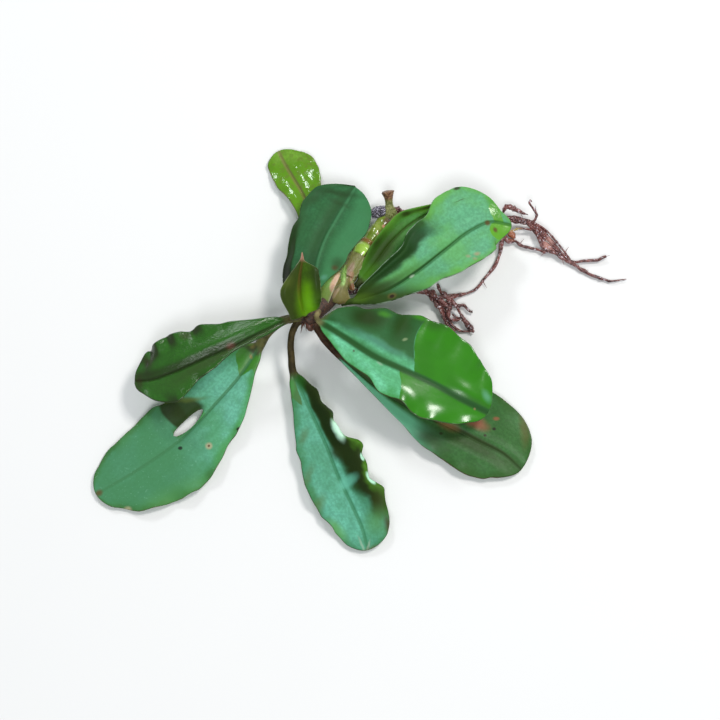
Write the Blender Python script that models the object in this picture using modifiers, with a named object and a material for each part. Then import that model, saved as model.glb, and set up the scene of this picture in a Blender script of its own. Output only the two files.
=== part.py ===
"""A bare-rooted bucephalandra plant, lying on a flat surface.

Ten leaves on short stalks spread from the growing end of a creeping rhizome. Papery leaf bases wrap the
rhizome, its old end carries a spent stalk, and thin roots run from it along the surface.
X is to the right and Y away from the viewer, as the plant is looked down on, and Z is up.
The origin is under the middle of the plant, on the surface. Every shape is given in millimetres.
"""
import math

import bmesh
import bpy
import numpy as np
from mathutils import Matrix, Vector

MM = 0.001

# Driving dimensions, in millimetres
BLADE_THICKNESS = 0.8
MIDRIB_THICKNESS = 1.3
STALK_RADIUS = 0.85
RHIZOME_RADIUS = 2.5
SHEATH_THICKNESS = 0.4
SHEATH_STAND_OFF = 0.6

# How a leaf is divided: the distance between its sections, how much closer they crowd towards the tip,
# how far the tip's rounding goes before it ends in a face, the share of the blade over which the round
# stalk flattens, and the lag of the right margin's ruffles
STATION_SPACING = 2.4
FEWEST_STATIONS = 10
TIP_CROWDING = 1.3
TIP_END = 0.984
STALK_BLEND = 0.1
RUFFLE_LAG = math.radians(126)

# A leaf's section: its points run from the left margin over the top to the right one, and back below.
# For each: its share of the half width, its side of the blade, and its angle on the round stalk
SECTION_REACH = np.array([-1, -0.66, -0.28, 0, 0.28, 0.66, 1, 0.66, 0.28, 0, -0.28, -0.66])
SECTION_SIDE = np.array([0, 1, 1, 1, 1, 1, 0, -1, -1, -1, -1, -1])
SECTION_ANGLE = math.pi - np.arange(12) * math.pi / 6

# The rhizome's axis from the crown to its old end, and its width there as a share of the full one
RHIZOME_AXIS = [
    (-16.3, 4.0, 11.3), (-13.7, 6.6, 10.7), (-10.9, 10.0, 9.9), (-7.7, 14.0, 8.9), (-4.3, 18.6, 7.9),
    (-1.7, 23.6, 6.7), (1.3, 29.0, 5.3), (4.7, 33.8, 4.1), (7.5, 37.4, 3.3),
]
RHIZOME_WIDTHS = [0.62, 0.92, 1.02, 1.0, 0.96, 1.14, 0.94, 1.0, 0.8]

# Colours as linear red, green and blue
GREEN_DRY = (0.09, 0.33, 0.16)
GREEN_WET = (0.05, 0.22, 0.015)
GREEN_YOUNG = (0.10, 0.20, 0.01)
GREEN_YELLOW = (0.13, 0.30, 0.05)
RHIZOME_GREEN = (0.23, 0.30, 0.07)
SHEATH_BEIGE = (0.24, 0.22, 0.09)
SHEATH_PINK = (0.36, 0.24, 0.15)
STALK_BROWN = (0.14, 0.10, 0.045)
ROOT_BROWN = (0.12, 0.04, 0.03)
SCALE_BROWN = (0.09, 0.035, 0.02)


def clear_scene():
    for obj in list(bpy.data.objects):
        bpy.data.objects.remove(obj, do_unlink=True)


def make_collection(name):
    collection = bpy.data.collections.new(name)
    bpy.context.scene.collection.children.link(collection)
    return collection


def finish_material(name, colour, roughness):
    """A plain Principled finish."""
    material = bpy.data.materials.new(name)
    material.use_nodes = True
    shader = material.node_tree.nodes["Principled BSDF"]
    shader.inputs["Base Color"].default_value = (*colour, 1.0)
    shader.inputs["Roughness"].default_value = roughness
    shader.inputs["Metallic"].default_value = 0.0
    return material


def curve_through(points, t):
    """Smooth curve through points of one or more numbers, read at t from 0 to 1: a cubic between each
    pair, with slopes from the points beside. Points in space are spaced by distance, others evenly."""
    points = np.asarray(points, float)
    t = np.atleast_1d(np.asarray(t, float))
    flat = points.ndim == 1
    if flat:
        points = points[:, None]
        knots = np.linspace(0.0, 1.0, len(points))
    else:
        steps = np.linalg.norm(np.diff(points, axis=0), axis=1)
        knots = np.concatenate([[0.0], np.cumsum(steps)]) / steps.sum()
    slopes = np.gradient(points, knots, axis=0)
    cell = np.clip(np.searchsorted(knots, t, side="right") - 1, 0, len(knots) - 2)
    span = (knots[cell + 1] - knots[cell])[:, None]
    s = (t[:, None] - knots[cell][:, None]) / span
    start_weight = 2 * s**3 - 3 * s**2 + 1
    value = start_weight * points[cell] + (1 - start_weight) * points[cell + 1]
    value += (s**3 - 2 * s**2 + s) * span * slopes[cell] + (s**3 - s**2) * span * slopes[cell + 1]
    return value[:, 0] if flat else value


def frames_along(points, t):
    """Centre, forward, right-hand and upward directions of a curve, with up as near +Z as it can be."""
    centre = curve_through(points, t)
    step = 0.002
    ahead = curve_through(points, np.minimum(t + step, 1))
    forward = ahead - curve_through(points, np.maximum(t - step, 0))
    forward /= np.linalg.norm(forward, axis=1)[:, None]
    right = np.cross(forward, (0.0, 0.0, 1.0))
    right /= np.linalg.norm(right, axis=1)[:, None]
    return centre, forward, right, np.cross(right, forward)


def smooth_step(x):
    x = np.clip(x, 0.0, 1.0)
    return x * x * (3 - 2 * x)


def add_mesh_object(name, verts, faces, material):
    """Makes a piece of the plant from points in millimetres, its faces turned outward."""
    mesh = bpy.data.meshes.new(name)
    mesh.from_pydata((np.asarray(verts) * MM).tolist(), [], faces)
    bm = bmesh.new()
    bm.from_mesh(mesh)
    bmesh.ops.recalc_face_normals(bm, faces=bm.faces)
    bm.to_mesh(mesh)
    bm.free()
    mesh.materials.append(material)
    mesh.shade_smooth()
    obj = bpy.data.objects.new(name, mesh)
    PLANT.objects.link(obj)
    return obj


def leaf(name, midrib, left, right, blade_from, tip_round, lift, curl, waves, wave_height, colour):
    """One leaf with its stalk, lofted from a round stalk to a thin blade.

    midrib: points from the stalk's foot to the tip. left, right: half widths at even steps of the blade.
    blade_from: share of the length that is stalk. tip_round: share of the blade that the tip rounds off.
    lift: how far the left and the right half rise from flat, in degrees, at even steps of the blade.
    curl: how far the margins bend down again, as a share of the half width. waves, wave_height: the
    ruffles of both margins.
    """
    length = np.linalg.norm(np.diff(np.asarray(midrib), axis=0), axis=1).sum()
    count = max(FEWEST_STATIONS, round(length / STATION_SPACING))
    t = 1 - (1 - np.linspace(0, 1, count)) ** TIP_CROWDING
    centre, _, side, up = frames_along(midrib, t)
    blade = np.clip((t - blade_from) / (1 - blade_from), 0, 1)

    # Half width and rise of each half, given to the section's points on that side
    past_shoulder = np.clip((blade - 1 + tip_round) / tip_round, 0, TIP_END)
    rounding = np.sqrt(1 - past_shoulder**2)
    half = np.where(SECTION_REACH < 0, 0, 1)
    width = np.stack([curve_through(left, blade), curve_through(right, blade)], 1)[:, half]
    width *= rounding[:, None]
    rise = np.radians(np.stack([curve_through(lift[0], blade), curve_through(lift[1], blade)], 1)[:, half])

    reach = np.abs(SECTION_REACH)
    phase = 2 * math.pi * waves * blade[:, None] + np.where(SECTION_REACH < 0, 0.0, RUFFLE_LAG)
    ruffle = wave_height * np.sin(math.pi * blade[:, None]) ** 0.5 * reach**3 * np.sin(phase)
    rib = (MIDRIB_THICKNESS - BLADE_THICKNESS) * ((SECTION_REACH == 0) & (SECTION_SIDE < 0))
    x = width * SECTION_REACH * np.cos(rise)
    y = width * (reach * np.sin(rise) - curl * reach**2) + ruffle
    y = y + SECTION_SIDE * BLADE_THICKNESS / 2 - rib

    flat = smooth_step(blade / STALK_BLEND)[:, None]
    x = STALK_RADIUS * np.cos(SECTION_ANGLE) * (1 - flat) + x * flat
    y = STALK_RADIUS * np.sin(SECTION_ANGLE) * (1 - flat) + y * flat
    rings = centre[:, None] + x[..., None] * side[:, None] + y[..., None] * up[:, None]

    ring = len(SECTION_REACH)
    faces = [
        (i * ring + k, i * ring + (k + 1) % ring, (i + 1) * ring + (k + 1) % ring, (i + 1) * ring + k)
        for i in range(count - 1) for k in range(ring)
    ]
    faces.append(tuple(reversed(range(ring))))
    faces.append(tuple(range((count - 1) * ring, count * ring)))
    material = finish_material(name + "_finish", colour, 0.4)
    return add_mesh_object(name, rings.reshape(-1, 3), faces, material)


def strand(name, points, radii, colour, spacing=3.0, bevel_steps=2, roughness=0.35):
    """A tube along a smooth curve through the points, its radius in millimetres at even steps."""
    length = np.linalg.norm(np.diff(np.asarray(points), axis=0), axis=1).sum()
    count = max(4, round(length / spacing) + 1)
    t = np.linspace(0, 1, count)
    data = bpy.data.curves.new(name, "CURVE")
    data.dimensions = "3D"
    data.bevel_depth = MM
    data.bevel_resolution = bevel_steps
    data.use_fill_caps = True
    spline = data.splines.new("POLY")
    spline.points.add(count - 1)
    for point, place, radius in zip(spline.points, curve_through(points, t), curve_through(radii, t)):
        point.co = (*(place * MM), 1.0)
        point.radius = radius
    data.materials.append(finish_material(name + "_finish", colour, roughness))
    obj = bpy.data.objects.new(name, data)
    PLANT.objects.link(obj)
    return obj


def sheath(name, start, end, turn_from, turn_to, flare, colour, along=6, around=8):
    """A papery leaf base: a strip around the rhizome between two shares of its length.

    turn_from, turn_to: the angles it covers about the axis, in degrees, 0 at the right and 90 on top.
    flare: how much further than the stand-off it is from the rhizome, at even steps of its length.
    """
    steps = np.linspace(0, 1, along)
    place = start + (end - start) * steps
    centre, _, side, up = frames_along(RHIZOME_AXIS, place)
    radius = RHIZOME_RADIUS * curve_through(RHIZOME_WIDTHS, place) + SHEATH_STAND_OFF
    radius += curve_through(flare, steps)
    angle = np.radians(np.linspace(turn_from, turn_to, around))[None, :, None]
    outward = np.cos(angle) * side[:, None] + np.sin(angle) * up[:, None]
    verts = (centre[:, None] + radius[:, None, None] * outward).reshape(-1, 3)
    faces = [
        (i * around + k, i * around + k + 1, (i + 1) * around + k + 1, (i + 1) * around + k)
        for i in range(along - 1) for k in range(around - 1)
    ]
    obj = add_mesh_object(name, verts, faces, finish_material(name + "_finish", colour, 0.35))
    wall = obj.modifiers.new("wall", "SOLIDIFY")
    wall.thickness = SHEATH_THICKNESS * MM
    wall.offset = 0.0
    return obj


def cutter(name, centre, size, angle):
    """An upright cylinder with an oval plan, to cut a hole. angle: its turn about Z, in degrees."""
    bpy.ops.mesh.primitive_cylinder_add(vertices=20, radius=0.5, depth=1.0)
    obj = bpy.context.object
    obj.name = name
    shape = Matrix.Rotation(math.radians(angle), 4, "Z") @ Matrix.Diagonal((*(Vector(size) * MM), 1))
    obj.data.transform(Matrix.Translation(Vector(centre) * MM) @ shape)
    for home in list(obj.users_collection):
        home.objects.unlink(obj)
    CUTTERS.objects.link(obj)
    obj.hide_render = True
    obj.display_type = "WIRE"
    return obj


clear_scene()
PLANT = make_collection("bucephalandra")
CUTTERS = make_collection("cutters")

# Rhizome, with the swollen node half way along it
strand("rhizome", RHIZOME_AXIS, [RHIZOME_RADIUS * width for width in RHIZOME_WIDTHS], RHIZOME_GREEN,
       spacing=2.8, bevel_steps=3, roughness=0.2)

# Spent stalk at the old end, flared where it broke off
strand("old_stalk", [(7.1, 38.6, 6.4), (7.5, 39.8, 7.5), (7.4, 41.8, 8.3), (6.9, 43.6, 8.8)],
       [1.5, 1.05, 1.15, 1.75], STALK_BROWN, spacing=1.0)

# Papery leaf bases on the rhizome, from the node down to the crown
sheath("sheath_upper", 0.57, 0.43, 42, 168, [0.3, 0.1, 0.1], SHEATH_BEIGE)
sheath("sheath_middle", 0.41, 0.30, 70, 190, [0.1, 0.2, 0.1], SHEATH_PINK)
sheath("sheath_lower", 0.28, 0.15, 45, 190, [0.0, 0.3, 0.9], SHEATH_BEIGE)

# Leaves that rest on the surface
leaf("leaf_back_left",
     midrib=[(-14.7, 10.2, 8.3), (-14.7, 13.9, 6.7), (-14.1, 19.4, 4.6), (-13.9, 27.4, 2.6),
             (-15.0, 36.3, 1.6), (-17.9, 45.5, 1.4), (-22.4, 52.7, 1.8), (-24.8, 58.4, 1.3)],
     left=[1.2, 2, 2.4, 3, 4.2, 5.2, 6, 5.8, 4.5], right=[1, 1.4, 2, 2.8, 4, 5.4, 6.6, 6.4, 5],
     blade_from=0.2, tip_round=0.2, lift=([4, 4], [4, 4]), curl=0.06,
     waves=4, wave_height=0.3, colour=GREEN_YELLOW)
torn_leaf = leaf("leaf_left_lower",
     midrib=[(-18.7, 3.1, 10.0), (-22.6, 1.7, 10.0), (-28.5, -1.4, 8.3), (-34.7, -10.0, 5.1),
             (-41.7, -17.8, 3.1), (-51.1, -27.6, 2.1), (-62.3, -35.8, 1.7), (-74.4, -43.0, 1.1)],
     left=[1.2, 3, 6.6, 10, 12.2, 14, 12.8, 10.5, 7], right=[1.5, 5.5, 7, 7.2, 9.6, 11.8, 10.5, 9, 6],
     blade_from=0.16, tip_round=0.14, lift=([4, 4], [4, 4]), curl=0.06,
     waves=6, wave_height=0.5, colour=GREEN_DRY)
tear = cutter("leaf_tear", centre=(-49.2, -23.2, 2.0), size=(10.6, 2.8, 12.0), angle=46)
cut = torn_leaf.modifiers.new("tear", "BOOLEAN")
cut.operation = "DIFFERENCE"
cut.solver = "EXACT"
cut.object = tear

leaf("leaf_front",
     midrib=[(-17.0, 2.0, 8.7), (-19.3, 1.0, 8.5), (-20.8, -2.4, 7.1), (-20.1, -7.8, 5.5),
             (-17.3, -14.5, 4.3), (-13.7, -22.3, 3.3), (-10.3, -29.9, 2.6), (-6.9, -38.6, 2.1),
             (-3.3, -46.1, 1.7), (-0.5, -52.5, 1.4), (1.1, -58.6, 1.1)],
     left=[1, 4.2, 5.4, 6.6, 10.4, 10.8, 11, 9, 5.5], right=[1, 3.6, 6, 7.6, 9.2, 9.8, 9.6, 8, 5],
     blade_from=0.19, tip_round=0.12, lift=([14, 38, 38, 28, 8], [4, 6, 4]), curl=0.04,
     waves=7, wave_height=1.0, colour=GREEN_DRY)
leaf("leaf_right_lower",
     midrib=[(-13.6, 2.6, 8.5), (-9.5, -2.1, 7.9), (-1.7, -9.3, 6.5), (5.9, -15.0, 4.9),
             (14.3, -19.8, 3.5), (23.2, -23.8, 2.4), (32.4, -28.4, 1.8), (39.3, -32.1, 1.5),
             (43.7, -36.1, 1.2)],
     left=[1, 2.5, 4.6, 7.2, 10.2, 13, 14, 12, 8], right=[1, 1.4, 2.2, 4, 6.8, 9.2, 10, 9, 6],
     blade_from=0.14, tip_round=0.16, lift=([4, 4], [4, 4]), curl=0.06,
     waves=6, wave_height=0.5, colour=GREEN_DRY)

# Leaves raised over those
leaf("leaf_back",
     midrib=[(-16.1, 7.8, 13.1), (-15.3, 11.4, 13.3), (-14.2, 14.4, 13.3), (-12.6, 22.3, 12.7),
             (-10.4, 28.9, 11.5), (-7.6, 34.6, 10.1), (-4.5, 40.9, 8.1), (-2.4, 45.4, 6.1)],
     left=[1.2, 7.5, 9.8, 10, 10, 10.6, 10, 8.5, 6], right=[1.2, 3.7, 6.5, 7.6, 8.3, 9.2, 9, 8, 6],
     blade_from=0.1, tip_round=0.14, lift=([4, 4], [4, 4]), curl=0.1,
     waves=4, wave_height=0.3, colour=GREEN_DRY)
leaf("leaf_young",
     midrib=[(-16.5, 4.4, 13.9), (-17.0, 5.6, 16.7), (-17.5, 7.6, 19.0), (-17.7, 10.3, 21.1),
             (-17.6, 14.0, 23.1), (-17.0, 18.4, 24.6), (-17.0, 20.0, 25.1)],
     left=[1.2, 5, 6, 6.5, 5.6, 3.8, 2, 0.7, 0.3], right=[1.2, 5, 6.5, 7, 7, 6, 4.5, 0.8, 0.3],
     blade_from=0.1, tip_round=0.05, lift=([30, 34, 20], [24, 28, 16]), curl=0.0,
     waves=2, wave_height=0.1, colour=GREEN_YOUNG)
leaf("leaf_left_upper",
     midrib=[(-18.6, 5.2, 12.5), (-21.9, 3.1, 14.3), (-27.8, 0.0, 15.7), (-35.2, -4.0, 15.7),
             (-43.8, -7.4, 14.1), (-53.1, -10.9, 11.5), (-59.7, -12.4, 9.1), (-63.9, -12.1, 7.1)],
     left=[1, 1.2, 1.5, 2.6, 4, 5.4, 6.8, 6, 4], right=[1.2, 3.2, 5.8, 7.5, 9, 9.8, 8.8, 6.4, 3],
     blade_from=0.1, tip_round=0.16, lift=([8, 8], [8, 8]), curl=0.1,
     waves=7, wave_height=0.7, colour=GREEN_DRY)
leaf("leaf_right_front",
     midrib=[(-13.4, 3.3, 13.3), (-11.3, 2.7, 14.0), (-5.2, -1.4, 14.5), (3.0, -6.9, 14.7),
             (11.3, -10.6, 14.1), (19.6, -14.2, 12.7), (27.9, -18.4, 10.5), (34.4, -21.1, 8.1)],
     left=[2.4, 8.8, 12.2, 13.6, 15.4, 15.6, 14.2, 11.5, 7],
     right=[1.2, 3.6, 5.7, 7, 9, 10.2, 10.2, 8.5, 5],
     blade_from=0.06, tip_round=0.14, lift=([8, 8], [8, 8]), curl=0.1,
     waves=7, wave_height=0.7, colour=GREEN_WET)
leaf("leaf_upper_right",
     midrib=[(-6.3, 9.8, 10.1), (-2.7, 10.2, 10.9), (1.5, 11.0, 11.9), (6.7, 12.5, 13.1),
             (14.2, 17.0, 14.3), (22.7, 24.0, 14.1), (29.8, 30.1, 12.7), (35.7, 33.4, 10.9),
             (41.9, 33.2, 8.9)],
     left=[1.2, 5.6, 7.6, 8.8, 11, 12, 12.9, 7.4, 3], right=[1.2, 2.5, 3.6, 5.5, 7.1, 8.2, 8.6, 6.6, 3],
     blade_from=0.1, tip_round=0.14, lift=([10, 10], [6, 6]), curl=0.08,
     waves=5, wave_height=0.5, colour=GREEN_DRY)
leaf("leaf_upper_right_lower",
     midrib=[(-2.3, 15.2, 8.3), (-0.3, 17.6, 8.3), (3.1, 21.9, 8.5), (7.7, 28.4, 8.1),
             (12.5, 33.4, 7.5), (18.8, 37.6, 6.7), (24.3, 40.0, 6.1)],
     left=[1, 2.4, 3.5, 3.8, 4, 4, 3.4, 2.6, 2], right=[1.5, 4, 4.9, 5.6, 5.6, 5.3, 4.6, 3.7, 3],
     blade_from=0.08, tip_round=0.2, lift=([14, 14], [-8, -8]), curl=0.05,
     waves=3, wave_height=0.3, colour=GREEN_WET)

# Dead scale under the crown
leaf("scale_front",
     midrib=[(-15.0, 1.9, 10.3), (-14.0, 0.7, 10.4), (-13.0, -0.2, 10.0)],
     left=[0.8, 1.2, 1.1, 0.7], right=[0.8, 1.1, 1.0, 0.7],
     blade_from=0.1, tip_round=0.3, lift=([-8, -8], [-8, -8]), curl=0.1,
     waves=1, wave_height=0.1, colour=SCALE_BROWN)

# Upper bundle of roots, from under the node out to the right
strand("root_upper",
       [(-0.4, 25.2, 2.4), (3.6, 26.6, 1.2), (8.9, 28.2, 0.9), (17.5, 29.0, 0.8), (26.1, 30.2, 0.9),
        (33.9, 32.5, 1.2), (40.5, 35.7, 1.7), (44.8, 35.8, 1.8), (49.1, 34.5, 1.6), (53.1, 31.0, 1.1),
        (57.8, 26.2, 0.9), (61.8, 24.9, 0.8), (67.0, 25.3, 0.9), (69.2, 26.4, 1.3)],
       [0.7, 0.65, 0.7, 0.8, 0.95, 0.6, 0.5, 0.5, 0.4], ROOT_BROWN)
strand("root_upper_tail",
       [(47.5, 33.4, 3.4), (49.5, 31.6, 3.2), (51.2, 29.0, 2.9), (54.9, 26.9, 2.7), (58.2, 24.8, 2.7),
        (61.1, 23.0, 1.7), (66.0, 20.8, 1.0), (70.8, 19.2, 0.7), (75.1, 19.7, 0.6)],
       [0.6, 0.65, 0.65, 0.6, 0.5, 0.4, 0.3], ROOT_BROWN)
strand("root_upper_loop",
       [(37.5, 31.3, 0.9), (40.8, 31.1, 0.9), (43.6, 30.6, 0.8), (47.6, 29.1, 0.8), (51.9, 28.2, 0.8),
        (55.6, 26.1, 0.8)],
       [0.5, 0.55, 0.5, 0.45], ROOT_BROWN)
strand("root_upper_curl",
       [(46.5, 36.2, 3.6), (48.3, 36.8, 4.0), (48.9, 38.3, 4.5), (48.1, 40.2, 5.1), (46.9, 41.2, 5.7)],
       [0.4, 0.45, 0.4, 0.3], ROOT_BROWN, spacing=1.6)
strand("root_upper_shard",
       [(40.5, 40.7, 3.7), (42.8, 39.9, 3.5), (45.0, 38.9, 3.4), (47.8, 38.4, 4.0)],
       [0.35, 0.7, 0.5, 0.3], ROOT_BROWN, spacing=1.8)
strand("root_joining",
       [(37.2, 29.8, 2.6), (38.6, 28.5, 2.3), (38.3, 25.8, 1.4), (36.3, 21.8, 0.8), (32.8, 18.5, 0.7),
        (31.4, 16.1, 0.7), (29.1, 15.3, 0.7), (25.5, 15.0, 0.7)],
       [0.5, 0.5, 0.45, 0.5], ROOT_BROWN)

# Lower bunch of roots, from under the leaf bases
strand("root_lower",
       [(-5.5, 14.4, 5.2), (-2.8, 15.2, 3.2), (0.6, 16.2, 1.7), (4.4, 16.7, 1.0), (10.3, 16.4, 0.8),
        (16.0, 15.8, 0.8), (19.7, 14.3, 0.8), (21.6, 11.6, 0.9), (23.3, 8.1, 0.9), (25.0, 5.2, 0.8),
        (28.1, 4.3, 0.7), (31.8, 4.5, 0.7)],
       [0.7, 0.7, 0.65, 0.7, 0.8, 0.75, 0.6, 0.45], ROOT_BROWN)
strand("root_lower_branch",
       [(21.7, 17.8, 1.5), (22.8, 15.4, 2.1), (24.4, 13.0, 2.5), (24.5, 10.0, 2.3), (25.5, 8.1, 1.9),
        (28.1, 7.5, 1.1)],
       [0.5, 0.6, 0.7, 0.5, 0.4], ROOT_BROWN, spacing=2.4)
strand("root_lower_fork",
       [(24.2, 13.8, 0.8), (25.8, 12.9, 0.8), (27.3, 12.0, 0.9), (29.3, 10.9, 0.9), (31.0, 10.0, 1.0)],
       [0.6, 0.5, 0.4], ROOT_BROWN, spacing=1.8)
strand("root_lower_long",
       [(26.1, 11.2, 2.8), (27.3, 9.6, 2.5), (28.6, 7.4, 1.9), (30.0, 5.4, 1.9), (31.1, 3.3, 2.5)],
       [0.4, 0.4, 0.45, 0.65], ROOT_BROWN, spacing=2.0)
strand("root_lower_left",
       [(14.3, 16.9, 2.1), (17.1, 15.5, 2.3), (19.9, 14.7, 2.6), (21.5, 13.3, 2.7), (22.8, 10.9, 2.5)],
       [0.4, 0.45, 0.5, 0.4], ROOT_BROWN, spacing=2.4)

# Short dead roots at the rhizome's old end
strand("root_old_end",
       [(10.5, 38.0, 2.7), (11.7, 38.3, 1.9), (13.1, 37.6, 1.1), (14.4, 36.3, 0.9)],
       [0.7, 0.6, 0.5, 0.4], ROOT_BROWN, spacing=1.8)
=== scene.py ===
import math

import bpy
import numpy as np
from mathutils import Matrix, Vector


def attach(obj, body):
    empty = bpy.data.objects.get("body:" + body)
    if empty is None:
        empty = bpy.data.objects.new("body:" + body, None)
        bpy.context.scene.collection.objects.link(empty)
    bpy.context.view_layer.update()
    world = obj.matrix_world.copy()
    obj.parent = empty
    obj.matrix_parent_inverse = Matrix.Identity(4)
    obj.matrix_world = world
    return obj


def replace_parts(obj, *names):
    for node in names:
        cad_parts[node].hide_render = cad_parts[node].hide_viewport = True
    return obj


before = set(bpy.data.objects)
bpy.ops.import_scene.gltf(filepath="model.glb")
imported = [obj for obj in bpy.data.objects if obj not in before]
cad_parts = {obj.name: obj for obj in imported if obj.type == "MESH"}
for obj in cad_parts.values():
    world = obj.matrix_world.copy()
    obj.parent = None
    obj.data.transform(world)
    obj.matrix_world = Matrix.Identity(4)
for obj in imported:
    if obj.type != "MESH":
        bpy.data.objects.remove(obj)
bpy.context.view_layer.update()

# Rhizome: the creeping stem that every leaf and root grows from, firm living tissue under a wet skin.
# It grew leaf by leaf from its old end to the crown, and keeps a swollen ring where each leaf has been.
# Dark with fibre at the crown, tan up to its green node, green beyond, and black with rot at the old end,
# its pale flecks painted glints.
MM = 0.001
TANGENT_STEP = 0.002
FEWEST_STATIONS = 8
FLOOR_EASE = 0.3
RHIZOME_RADIUS = 2.5
RHIZOME_AXIS = [
    (-16.3, 4.0, 11.3), (-13.7, 6.6, 10.7), (-10.9, 10.0, 9.9), (-7.7, 14.0, 8.9), (-4.3, 18.6, 7.9),
    (-1.7, 23.6, 6.7), (1.3, 29.0, 5.3), (4.7, 33.8, 4.1), (7.5, 37.4, 3.3),
]
RHIZOME_WIDTHS = [0.62, 0.92, 1.02, 1.0, 0.96, 1.14, 0.94, 1.0, 0.8]
# Rings left by old leaves: where along the rhizome, how far they stand out and how long they are
RHIZOME_RINGS = [(0.36, 0.15, 0.012), (0.672, 0.5, 0.026), (0.735, 0.3, 0.008), (0.8, 0.1, 0.006),
                 (0.86, 0.16, 0.01), (0.93, 0.2, 0.012)]
# The crown's core of dead fibre at the tip, and the rotted knob at the old end
CROWN_CORE = [(-17.0, 6.6, 8.3), (-16.4, 6.4, 10.0), (-15.8, 6.2, 12.0)]
CROWN_RADII = [1.6, 2.6, 2.0]
BLACK_KNOB = [(2.1, 37.9, 4.2), (4.0, 38.5, 4.7), (5.8, 38.7, 5.0), (7.2, 38.6, 4.8)]
KNOB_RADII = [1.1, 1.55, 1.5, 1.2]
# Shares of the length where two bands of colour start, are full, are last full and end
GREEN_NODE = (0.60, 0.63, 0.69, 0.715)
BROWN_RING = (0.70, 0.725, 0.735, 0.76)
# The same share as a mark: below nought on the crown's core, and above 1 on the knob
CORE_SHARES, KNOB_SHARES = (-0.2, -0.1), (1.1, 1.3)
# Spots on the stem: centre, half axes and colour
STEM_SPOTS = [
    ((5.9, 33.6), (0.75, 0.6), (0.62, 0.30, 0.20)), ((4.2, 31.2), (0.6, 0.5), (0.6, 0.42, 0.3)),
    ((6.6, 35.6), (1.0, 1.6), (0.10, 0.05, 0.03)), ((-3.5, 26.6), (0.8, 1.0), (0.2, 0.1, 0.04)),
    ((0.4, 24.0), (0.4, 1.8), (0.03, 0.025, 0.01)), ((-10.0, 10.0), (3.6, 2.6), (0.022, 0.010, 0.007)),
    ((-13.0, 7.4), (1.8, 1.6), (0.14, 0.10, 0.04)),
]


def curve_through(points, t):
    """Smooth curve through points of one or more numbers, read at t from 0 to 1: a cubic between each
    pair, with slopes from the points beside. Points in space are spaced by distance, others evenly."""
    points = np.asarray(points, float)
    t = np.atleast_1d(np.asarray(t, float))
    flat = points.ndim == 1
    if flat:
        points = points[:, None]
        knots = np.linspace(0.0, 1.0, len(points))
    else:
        steps = np.linalg.norm(np.diff(points, axis=0), axis=1)
        knots = np.concatenate([[0.0], np.cumsum(steps)]) / steps.sum()
    slopes = np.gradient(points, knots, axis=0)
    cell = np.clip(np.searchsorted(knots, t, side="right") - 1, 0, len(knots) - 2)
    span = (knots[cell + 1] - knots[cell])[:, None]
    s = (t[:, None] - knots[cell][:, None]) / span
    start_weight = 2 * s**3 - 3 * s**2 + 1
    value = start_weight * points[cell] + (1 - start_weight) * points[cell + 1]
    value += (s**3 - 2 * s**2 + s) * span * slopes[cell] + (s**3 - s**2) * span * slopes[cell + 1]
    return value[:, 0] if flat else value


def frames_along(points, t):
    """Places along a curve, and the right-hand and upward directions there.

    Forward runs from a point just behind to one just ahead, right is forward crossed with +Z, and up is
    right crossed with forward, so it is as near +Z as it can be.
    """
    centre = curve_through(points, t)
    ahead = curve_through(points, np.minimum(t + TANGENT_STEP, 1))
    forward = ahead - curve_through(points, np.maximum(t - TANGENT_STEP, 0))
    forward /= np.linalg.norm(forward, axis=1)[:, None]
    right = np.cross(forward, (0.0, 0.0, 1.0))
    right /= np.linalg.norm(right, axis=1)[:, None]
    return centre, right, np.cross(right, forward)


def length_of(points):
    """The sum of the distances from each point to the next."""
    return np.linalg.norm(np.diff(np.asarray(points, float), axis=0), axis=1).sum()


def bell(x):
    """e to the power of minus x squared: 1 at nought, falling away smoothly on both sides."""
    return np.exp(-np.square(x))


def smooth_step(x):
    """3 x squared less 2 x cubed, with x held between 0 and 1."""
    x = np.clip(x, 0.0, 1.0)
    return x * x * (3 - 2 * x)


def closed_skin(rings, marks, slit=None):
    """A closed skin over rings of points, each end of it drawn together in one point.

    rings: stations by points around by 3, in millimetres. Point k of a ring joins point k of the next,
    and a fan closes each end. Faces are turned outward by the sign of the volume that they enclose.
    marks: numbers kept at the points, stations by points around, each under its name.
    slit: (near, far, open stations) of a slit right through. near and far are its two lips, each as the
    column on the top and the one below it. Walls close it where it is open, and elsewhere its lips are one.
    """
    count, around = rings.shape[:2]
    verts = np.concatenate([rings.reshape(-1, 3), [rings[0].mean(axis=0), rings[-1].mean(axis=0)]])
    here = np.arange(count * around).reshape(count, around)
    beside = np.roll(here, -1, axis=1)
    foot = np.full(around, count * around)
    quads = np.stack([here[:-1], beside[:-1], beside[1:], here[1:]], axis=-1)
    if slit:
        near, far, opened = slit
        same = np.arange(len(verts))
        same[here[~opened][:, far]] = here[~opened][:, near]
        quads = np.delete(quads, [near[0], far[1]], axis=1).reshape(-1, 4)
        wide = opened[:-1] | opened[1:]
        walls = [np.stack([here[:-1, one], here[:-1, two], here[1:, two], here[1:, one]], 1)[wide]
                 for one, two in (near, far[::-1])]
        quads = same[np.concatenate([quads, *walls])]
    quads = quads.reshape(-1, 4)
    ends = np.concatenate([np.stack([beside[0], here[0], foot], 1),
                           np.stack([here[-1], beside[-1], foot + 1], 1)])
    corners = verts[np.concatenate([quads[:, :3], quads[:, [0, 2, 3]], ends])]
    if np.einsum("ij,ij->", corners[:, 0], np.cross(corners[:, 1], corners[:, 2])) < 0:
        quads, ends = quads[:, ::-1], ends[:, ::-1]
    flat_marks = {name: np.concatenate([value.reshape(-1), [value[0].mean(), value[-1].mean()]])
                  for name, value in marks.items()}
    return verts, quads, ends, flat_marks


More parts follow.
